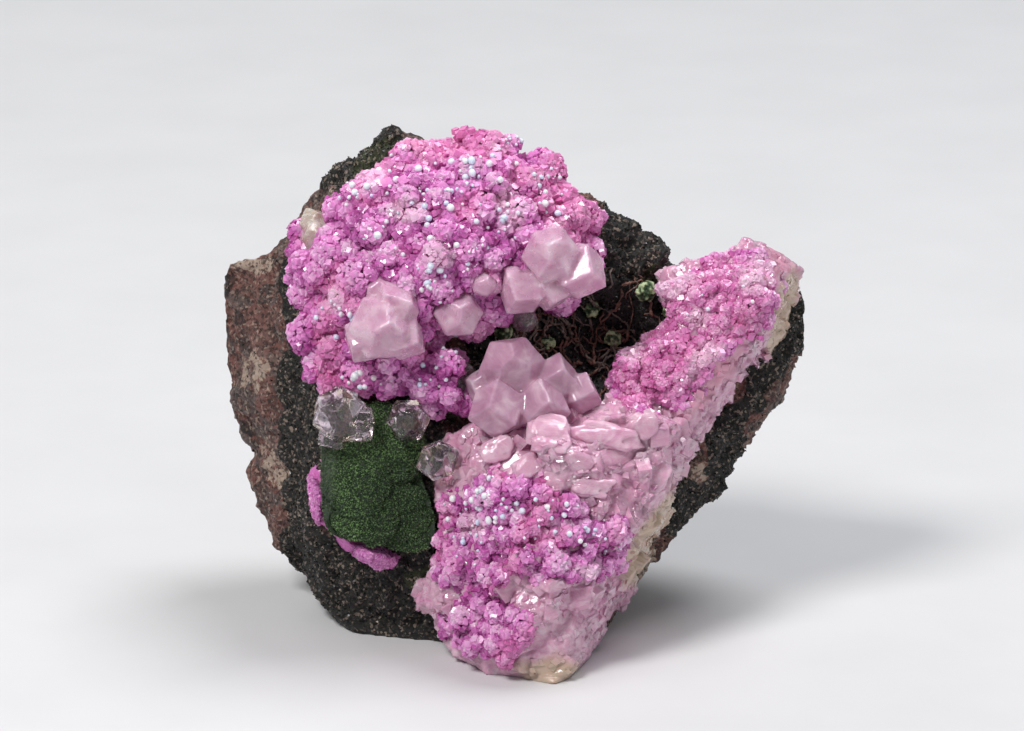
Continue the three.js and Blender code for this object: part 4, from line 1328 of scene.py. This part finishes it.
def lower_druse(mass, grain, random):
    """The crystals in the pockets of the toe, and finer ones on the arm."""
    surface = mass[:2]
    count = FILLING_CRYSTALS
    tries = sizes().lower_tries
    fine = 0.8 * grain
    heads = grow_lumps(*surface, in_pockets, (0.7 * MM, 1.7 * MM), 1.35, grain, tries, random)
    spots, outward = spots_on(*surface, count, random, in_pockets)
    widths = random.uniform(0.5, 1.2, count) * grain
    arm_heads = grow_lumps(*surface, on_arm, (0.4 * MM, 1.1 * MM), 1.25, fine, tries, random)
    arm_spots, arm_out = spots_on(*surface, count, random, on_arm)
    arm_widths = random.uniform(0.6, 1.6, count) * fine
    rise = random.uniform(0.2, 0.8, count)
    arm_filling = small_crystals(arm_spots, arm_out, arm_widths, random, 0.4, 0.0, rise=rise)
    filling = small_crystals(spots, outward, widths, random, 0.4, 0.0)
    return tinted(joined([heads, filling, arm_heads, arm_filling]), ARM_POCKETS, LOWER_PALE_ZONES, 0.9)


class MakeLowerCalcite(bpy.types.Operator):
    """Make the pale cleaved calcite from the toe to the right arm, with its druse pockets"""

    bl_idname = "calcite.make_lower_calcite"
    bl_label = "Lower calcite"

    def execute(self, context):
        random = np.random.default_rng(404)
        material = lower_material()
        mass = coloured(calcite_mass(random))
        dressed_piece("lower_calcite_mass", mass, True, material, ["lower_calcite"])
        surface = mass[:2]
        blocks = cleavage_blocks(*surface, on_ice, BLOCKS, (0.45 * MM, 0.85 * MM), 20, random)
        chips = cleavage_blocks(*surface, on_bare, CHIPS, (0.12 * MM, 0.36 * MM), 90, random)
        blocks = coloured(joined([blocks, chips]))
        dressed_piece("lower_calcite_blocks", blocks, False, material)
        flat = coloured(tablets(mass, random))
        dressed_piece("lower_calcite_tablets", flat, True, material)
        druse = lower_druse(mass, sizes().pocket_grain, random)
        dressed_piece("lower_druse_crystals", druse, False, druse_material())
        beads = beads_on(druse, LOWER_BEADS, random)
        dressed_piece("lower_beads", beads, True, bead_material())
        return {"FINISHED"}


# The malachite and the sill under it

TUFTS = 13000
SILL_CRYSTALS = 1100
# Ovals on the shown face: (x, height, half width, half rise, turn)
SILL_PARTS = [(-20.3, 17.8, 0.9, 2.2, 0), (-13.8, 12.0, 2.5, 1.5, -25)]
# Painted shade over the malachite's low lobes
SHADED_FOOT = [(-11.5, 17.5, 4.0, 5.0, 0)]
GREY_BEVEL = [(-19.2, 21.5, 1.3, 5.0, 0)]
# The same with how far each plate stands up, in millimetres
MALACHITE_PLATES = [
    (-15.9, 21.2, 3.4, 4.9, 8, 1.15), (-11.9, 23.4, 2.9, 3.4, -20, 0.8), (-15.0, 16.2, 3.6, 2.2, 0, 0.75),
    (-12.2, 18.6, 3.0, 2.0, 0, 0.5), (-10.6, 16.2, 2.4, 2.2, 10, 0.22), (-12.0, 27.0, 4.0, 1.9, 0, 0.4),
]


def plates(places, ovals):
    """How far overlapping plates with crisp rims stand up: each oval with its height at the end."""
    standing = np.zeros(len(places))
    x = places[:, 0] + 0.45 * soft_noise(places, 1.3, 86)
    height = places[:, 1] + 0.45 * soft_noise(places, 1.3, 88)
    for *oval, thickness in ovals:
        reach = reach_from(oval, x, height)
        top = thickness * (1 - 0.12 * reach**2)
        standing = np.maximum(standing, top * (1 - smooth_step(reach, 0.94, 1.02)))
    return standing


def squared_patch(verts):
    """The malachite's surface made flatter in front and squarer at its foot."""
    places = face_measures(verts)
    low, high = places.min(axis=0), places.max(axis=0)
    middle, half = (low + high) / 2, (high - low) / 2
    u, v = ((places - middle) / half)[:, :2].T
    squarer = np.hypot(u, v) / np.maximum((u**4 + v**4) ** 0.25, 1e-6)
    wider = 1 + (squarer - 1) * 0.75 * smooth_step(-v, 0.0, 0.4)
    places[:, :2] = middle[:2] + (places - middle)[:, :2] * wider[:, None]
    cap = high[2] - 2.6
    places[:, 2] -= 0.6 * np.maximum(places[:, 2] - cap, 0)
    return on_face(places)


def malachite_painted_shade_and_grey(points):
    """The painted shade round the malachite's plates and at its foot, and how grey it is at its left bevel.
    """
    places = face_measures(points)
    wider = [(x, up, 1.1 * w, 1.1 * r, turn, h) for x, up, w, r, turn, h in MALACHITE_PLATES]
    # Painted shade in a ring just outside each plate
    plate_rim_shade = plates(places, wider) - plates(places, MALACHITE_PLATES)
    low = 0.45 * zone(places, SHADED_FOOT, 0.8, 85)
    return {
        "shade": np.maximum(low, 0.75 * smooth_step(plate_rim_shade, 0.05, 0.4)),
        "bevel": 0.55 * zone(places, GREY_BEVEL, 0.5, 87),
    }


def malachite_body():
    """The malachite's own surface, with its plates standing up."""
    verts, tris, normals = remeshed("malachite_patch", 0.2 * MM, 6)
    verts = squared_patch(verts)
    relief = 0.3 * rough_noise(verts, 3.4 * MM, 3, 81) + 0.1 * rough_noise(verts, 0.5 * MM, 2, 83)
    relief += plates(face_measures(verts), MALACHITE_PLATES) - 0.5
    verts = push(verts, normals, relief * MM)
    return verts, tris, {"tip": np.full(len(verts), 0.1), **malachite_painted_shade_and_grey(verts)}


def velvet(verts, tris, random):
    """Short tufts all over the malachite's front."""
    spots, outward = spots_on(verts, tris, TUFTS, random, facing(-0.2))
    width = random.uniform(0.07, 0.14, TUFTS) * MM
    shape = np.stack((width, width, width * 1.1), axis=1)
    turns = turned_to(jittered(outward, 0.5, random), random.uniform(0, 6, TUFTS))
    tufts = copies(TUFT, spots, shape, turns, random.random(TUFTS))
    tufts[2].update(malachite_painted_shade_and_grey(tufts[0]))
    return tufts


def on_sill(middles, outward):
    """Accepts the parts of the sill that show beside the malachite."""
    return facing(-0.2)(middles, outward) * (zone(face_measures(middles), SILL_PARTS, 0.7, 93) > 0.5)


def sill(random):
    """The sill's crystals where it shows, with the rest of it sunk out of sight."""
    verts, tris, shades = crust_base("pink_sill", 0.25 * MM, -0.1 * MM, 91)
    shown = zone(face_measures(verts), SILL_PARTS, 0.7, 93)[:, None]
    sunk = verts - FACE_OUT * 2.4 * MM
    verts = sunk + (verts - sunk) * shown
    spots, outward = spots_on(verts, tris, SILL_CRYSTALS, random, on_sill)
    widths = random.uniform(0.3, 0.8, SILL_CRYSTALS) * sizes().pocket_grain
    whole = joined([(verts, tris, shades), small_crystals(spots, outward, widths, random, 0.4, 0.1)])
    whole[2]["rise"] = np.full(len(whole[0]), 0.62)
    return whole


class MakeMalachite(bpy.types.Operator):
    """Make the velvety malachite plates and the pink sill that shows round them"""

    bl_idname = "calcite.make_malachite"
    bl_label = "Malachite"

    def execute(self, context):
        random = np.random.default_rng(505)
        body = malachite_body()
        patch = joined([body, velvet(*body[:2], random)])
        material = malachite_material("velvety malachite", colours().malachite_pale_and_sheen)
        dressed_piece("malachite_velvet", patch, False, material, ["malachite_patch"])
        pink = sill(random)
        dressed_piece("pink_sill_crystals", pink, False, druse_material(), ["pink_sill"])
        return {"FINISHED"}


# Single crystals


def uneven_crystal(node, unevenness, softness):
    """A CAD crystal with softened edges and faces that are slightly uneven, as grown ones are."""
    verts, tris, normals = remeshed(node, sizes().crystal_voxel, softness)
    steps = np.round(2.5 * rough_noise(verts, 1.9 * MM, 2, 93)) / 2.5
    relief = 0.55 * soft_noise(verts, 2.3 * MM, 91) + 0.3 * steps
    relief += 0.08 * soft_noise(verts, 0.6 * MM, 95)
    return push(verts, normals, unevenness * relief), tris, {}


class MakeCrystals(bpy.types.Operator):
    """Make the single crystals and clusters: milky, clear, smoky and cream"""

    bl_idname = "calcite.make_crystals"
    bl_label = "Crystals"

    def execute(self, context):
        uneven = sizes().crystal_unevenness
        kinds = (
            (MILKY, milky_material("milky pink crystal", 0.25), "milky_crystal", uneven, 3),
            (GLASSY, milky_material("glassy pink crystal", 0.45), "milky_crystal", 0.7 * uneven, 3),
            (CLEAR, clear_material(), "clear_crystal", 0.2 * uneven, 4),
            (SMOKY, smoky_material(), "smoky_crystal", 0.5 * uneven, 4),
            (["cream_crystal"], cream_material(), "cream_crystal", uneven, 4),
        )
        for nodes, material, slot, unevenness, softness in kinds:
            for node in nodes:
                crystal = uneven_crystal(node, unevenness, softness)
                dressed_piece(f"{node}_faces", crystal, True, material, [node])
        return {"FINISHED"}


# The stage


def soft_light(name, place, aim, width, power, tint=(1, 1, 1)):
    light = bpy.data.lights.new(name, "AREA")
    light.shape = "DISK"
    light.size = width
    light.energy = power
    light.color = tint
    lamp = bpy.data.objects.new(name, light)
    lamp.location = place
    lamp.rotation_euler = (Vector(aim) - Vector(place)).to_track_quat("-Z", "Y").to_euler()
    bpy.context.scene.collection.objects.link(lamp)


class MakeStage(bpy.types.Operator):
    """Make the pale floor, the soft lights and the camera"""

    bl_idname = "calcite.make_stage"
    bl_label = "Stage"

    def execute(self, context):
        half = 3.0
        corners = np.array([(-half, -half, 0), (half, -half, 0), (half, half, 0), (-half, half, 0)])
        floor = new_piece("floor", corners, np.array([(0, 1, 2, 3)]), False, {})
        n = Nodes("pale floor")
        tint = n.ramp(n.noise(0.02, 3), [(0.3, (0.64, 0.64, 0.65)), (0.7, (0.67, 0.67, 0.68))])
        n.set(base_color=tint, roughness=0.6)
        floor.data.materials.append(n.material)

        s = sizes()
        middle = on_face((-0.3, 31.75, 8.0))
        camera = bpy.data.cameras.new("camera")
        camera.sensor_width = 36
        camera.lens = 36 * s.camera_distance / s.picture_width
        camera.clip_start = 0.01
        camera.clip_end = 20
        holder = bpy.data.objects.new("camera", camera)
        holder.location = middle + FACE_OUT * s.camera_distance
        holder.rotation_euler = Vector(FACE_OUT).to_track_quat("Z", "Y").to_euler()
        bpy.context.scene.collection.objects.link(holder)
        context.scene.camera = holder

        aim = (0, 0, 0.025)
        soft_light("key", (-0.26, -0.26, 0.5), aim, 0.2, 2.7, (1, 0.98, 0.96))
        soft_light("top", (0.18, 0.14, 0.55), aim, 0.3, 2.1, (0.97, 0.98, 1))
        soft_light("fill", (0.5, -0.35, 0.2), aim, 0.5, 0.6)
        soft_light("back", (-0.35, 0.5, 0.3), aim, 0.5, 0.8)
        world = bpy.data.worlds.new("room")
        world.use_nodes = True
        world.node_tree.nodes["Background"].inputs["Color"].default_value = (0.75, 0.78, 0.82, 1)
        world.node_tree.nodes["Background"].inputs["Strength"].default_value = 0.26
        context.scene.world = world
        context.scene.view_settings.view_transform = "Standard"
        return {"FINISHED"}


# What a user can change


def length(name, description, default):
    return FloatProperty(
        name=name, description=description, default=default, unit="LENGTH", precision=6
    )


def colour(name, description, default):
    return FloatVectorProperty(
        name=name, description=description, default=default, subtype="COLOR", min=0, max=1
    )


class CalciteSizes(bpy.types.PropertyGroup):
    rock_voxel: length("Rock detail", "Width of the rock's finest lumps", 0.4 * MM)
    druse_grain: length("Druse grain", "Half width of the upper druse's crystals", 0.25 * MM)
    pocket_grain: length("Pocket grain", "Half width of the lower druses' crystals", 0.24 * MM)
    crystal_voxel: length("Crystal detail", "Width of the large crystals' finest facets", 0.17 * MM)
    crystal_unevenness: length("Crystal relief", "How uneven the large crystals' faces are", 0.16 * MM)
    camera_distance: length("Camera distance", "From the camera to the crystals", 0.68)
    picture_width: length("Picture width", "Width of what the picture takes in", 0.1024)
    rim_reach: FloatProperty(
        name="Rim reach", description="How much further the rock's side rims reach", default=0.028
    )
    rock_grains: IntProperty(
        name="Rock grains", description="Sparkling grains on the rock", default=14000, min=0
    )
    twigs: IntProperty(name="Twigs", description="Root-like twigs in the hollow", default=125, min=1)
    upper_tries: IntProperty(
        name="Upper lumps", description="Places tried for lumps on the upper druse", default=900, min=1
    )
    lower_tries: IntProperty(
        name="Lower lumps", description="Places tried for lumps on the lower druse", default=500, min=1
    )


class CalciteColours(bpy.types.PropertyGroup):
    rock_dark: colour("Rock, dark", "Darkest clasts of the breccia", (0.014, 0.01, 0.009))
    rock_brown: colour("Rock, brown", "Brown clasts of the breccia", (0.075, 0.04, 0.034))
    rock_red: colour("Rock, red", "Brown-red clasts of the breccia", (0.19, 0.065, 0.05))
    rock_grey: colour("Rock, grey", "Grey clasts of the breccia", (0.14, 0.105, 0.095))
    rock_cream: colour("Rock, cream", "Cream streaks and pebbles", (0.52, 0.4, 0.32))
    rock_black: colour("Rock, black", "Sparkling dark bands", (0.013, 0.015, 0.012))
    rock_moss: colour("Rock, green", "Yellow-green specks", (0.035, 0.045, 0.012))
    rock_blush: colour("Rock, pink", "Pink-brown blush", (0.26, 0.13, 0.11))
    # Painted shade: the colour of the hollows between the druse's crystals
    orchid_painted_shade: colour("Orchid, deep", "Between the druse's crystals", (0.3, 0.035, 0.2))
    orchid: colour("Orchid", "Sides of the druse's crystals", (0.57, 0.13, 0.435))
    orchid_rose: colour("Orchid, rose", "Rosier patches of the druse", (0.8, 0.24, 0.46))
    # Painted light: the colour of the crystals' upper faces
    orchid_painted_light: colour("Orchid, light", "Upper faces of the druse's crystals", (0.79, 0.29, 0.63))
    # Painted light at the crystals' tips, and the colour of real milky patches
    orchid_milky_and_lit: colour("Orchid, pale", "Tips of the druse's crystals", (0.89, 0.54, 0.76))
    druse_white: colour("Druse, white", "Whitish patches of the druse", (0.92, 0.6, 0.76))
    ice_deep: colour("Ice, deep", "Depths of the massive calcite", (0.73, 0.3, 0.5))
    ice: colour("Ice", "Massive pale calcite", (0.84, 0.46, 0.63))
    ice_pale: colour("Ice, pale", "Whitest veils of the massive calcite", (0.93, 0.68, 0.79))
    ice_cream: colour("Ice, cream", "Cream edges of the massive calcite", (0.7, 0.52, 0.4))
    ice_blush: colour("Ice, blush", "Red-pink edges of the massive calcite", (0.84, 0.4, 0.54))
    milky_deep: colour("Milky, deep", "Depths of the milky crystals", (0.7, 0.38, 0.55))
    milky: colour("Milky", "Milky crystals", (0.75, 0.46, 0.61))
    milky_pale: colour("Milky, pale", "Veils of the milky crystals", (0.84, 0.62, 0.73))
    cream_deep: colour("Cream, deep", "Depths of the cream crystals", (0.6, 0.47, 0.38))
    cream: colour("Cream", "Cream crystals", (0.85, 0.78, 0.7))
    bead_white: colour("Bead, white", "Whitest beads", (0.9, 0.9, 0.93))
    bead_blue: colour("Bead, blue", "Bluest beads", (0.62, 0.72, 0.9))
    # Painted shade between the grains and round the plates, and real dark patches
    malachite_deep_and_shade: colour("Malachite, deep", "Between the malachite's grains", (0.008, 0.02, 0.006))
    malachite: colour("Malachite", "Velvety malachite", (0.036, 0.08, 0.024))
    # Painted sheen: the colour of the tufts' tips
    malachite_pale_and_sheen: colour("Malachite, light", "Tips of the malachite's grains", (0.26, 0.43, 0.16))
    malachite_ball: colour("Malachite, balls", "Small balls in the hollow", (0.5, 0.6, 0.34))
    malachite_grey: colour("Malachite, grey", "Grey-green edge", (0.09, 0.115, 0.08))
    lining: colour("Lining", "Black lining of the hollow", (0.02, 0.016, 0.014))
    lining_brown: colour("Lining, brown", "Brown flecks of the lining", (0.1, 0.05, 0.03))
    twig_dark: colour("Twig, dark", "Hollows of the twigs", (0.045, 0.025, 0.02))
    twig_red: colour("Twig, red", "Red-brown twigs", (0.33, 0.15, 0.11))
    twig_grey: colour("Twig, grey", "Grey twigs", (0.36, 0.28, 0.24))


class CALCITE_PT_panel(bpy.types.Panel):
    """The sizes, colours and pieces of the specimen"""

    bl_label = "Calcite specimen"
    bl_idname = "CALCITE_PT_panel"
    bl_space_type = "VIEW_3D"
    bl_region_type = "UI"
    bl_category = "Calcite"

    def draw(self, context):
        layout = self.layout
        for operator in OPERATORS:
            layout.operator(operator.bl_idname)
        for group in (context.scene.calcite_sizes, context.scene.calcite_colours):
            for key in group.bl_rna.properties.keys():
                if key not in ("rna_type", "name"):
                    layout.prop(group, key)


OPERATORS = (
    MakeStage,
    MakeRock,
    MakeHollow,
    MakeUpperDruse,
    MakeLowerCalcite,
    MakeMalachite,
    MakeCrystals,
)
CLASSES = (CalciteSizes, CalciteColours, *OPERATORS, CALCITE_PT_panel)


def register():
    for cls in CLASSES:
        bpy.utils.register_class(cls)
    bpy.types.Scene.calcite_sizes = PointerProperty(type=CalciteSizes)
    bpy.types.Scene.calcite_colours = PointerProperty(type=CalciteColours)


def unregister():
    del bpy.types.Scene.calcite_colours
    del bpy.types.Scene.calcite_sizes
    for cls in reversed(CLASSES):
        bpy.utils.unregister_class(cls)


def main():
    register()
    for operator in OPERATORS:
        group, name = operator.bl_idname.split(".")
        getattr(getattr(bpy.ops, group), name)()


if __name__ == "__main__":
    main()
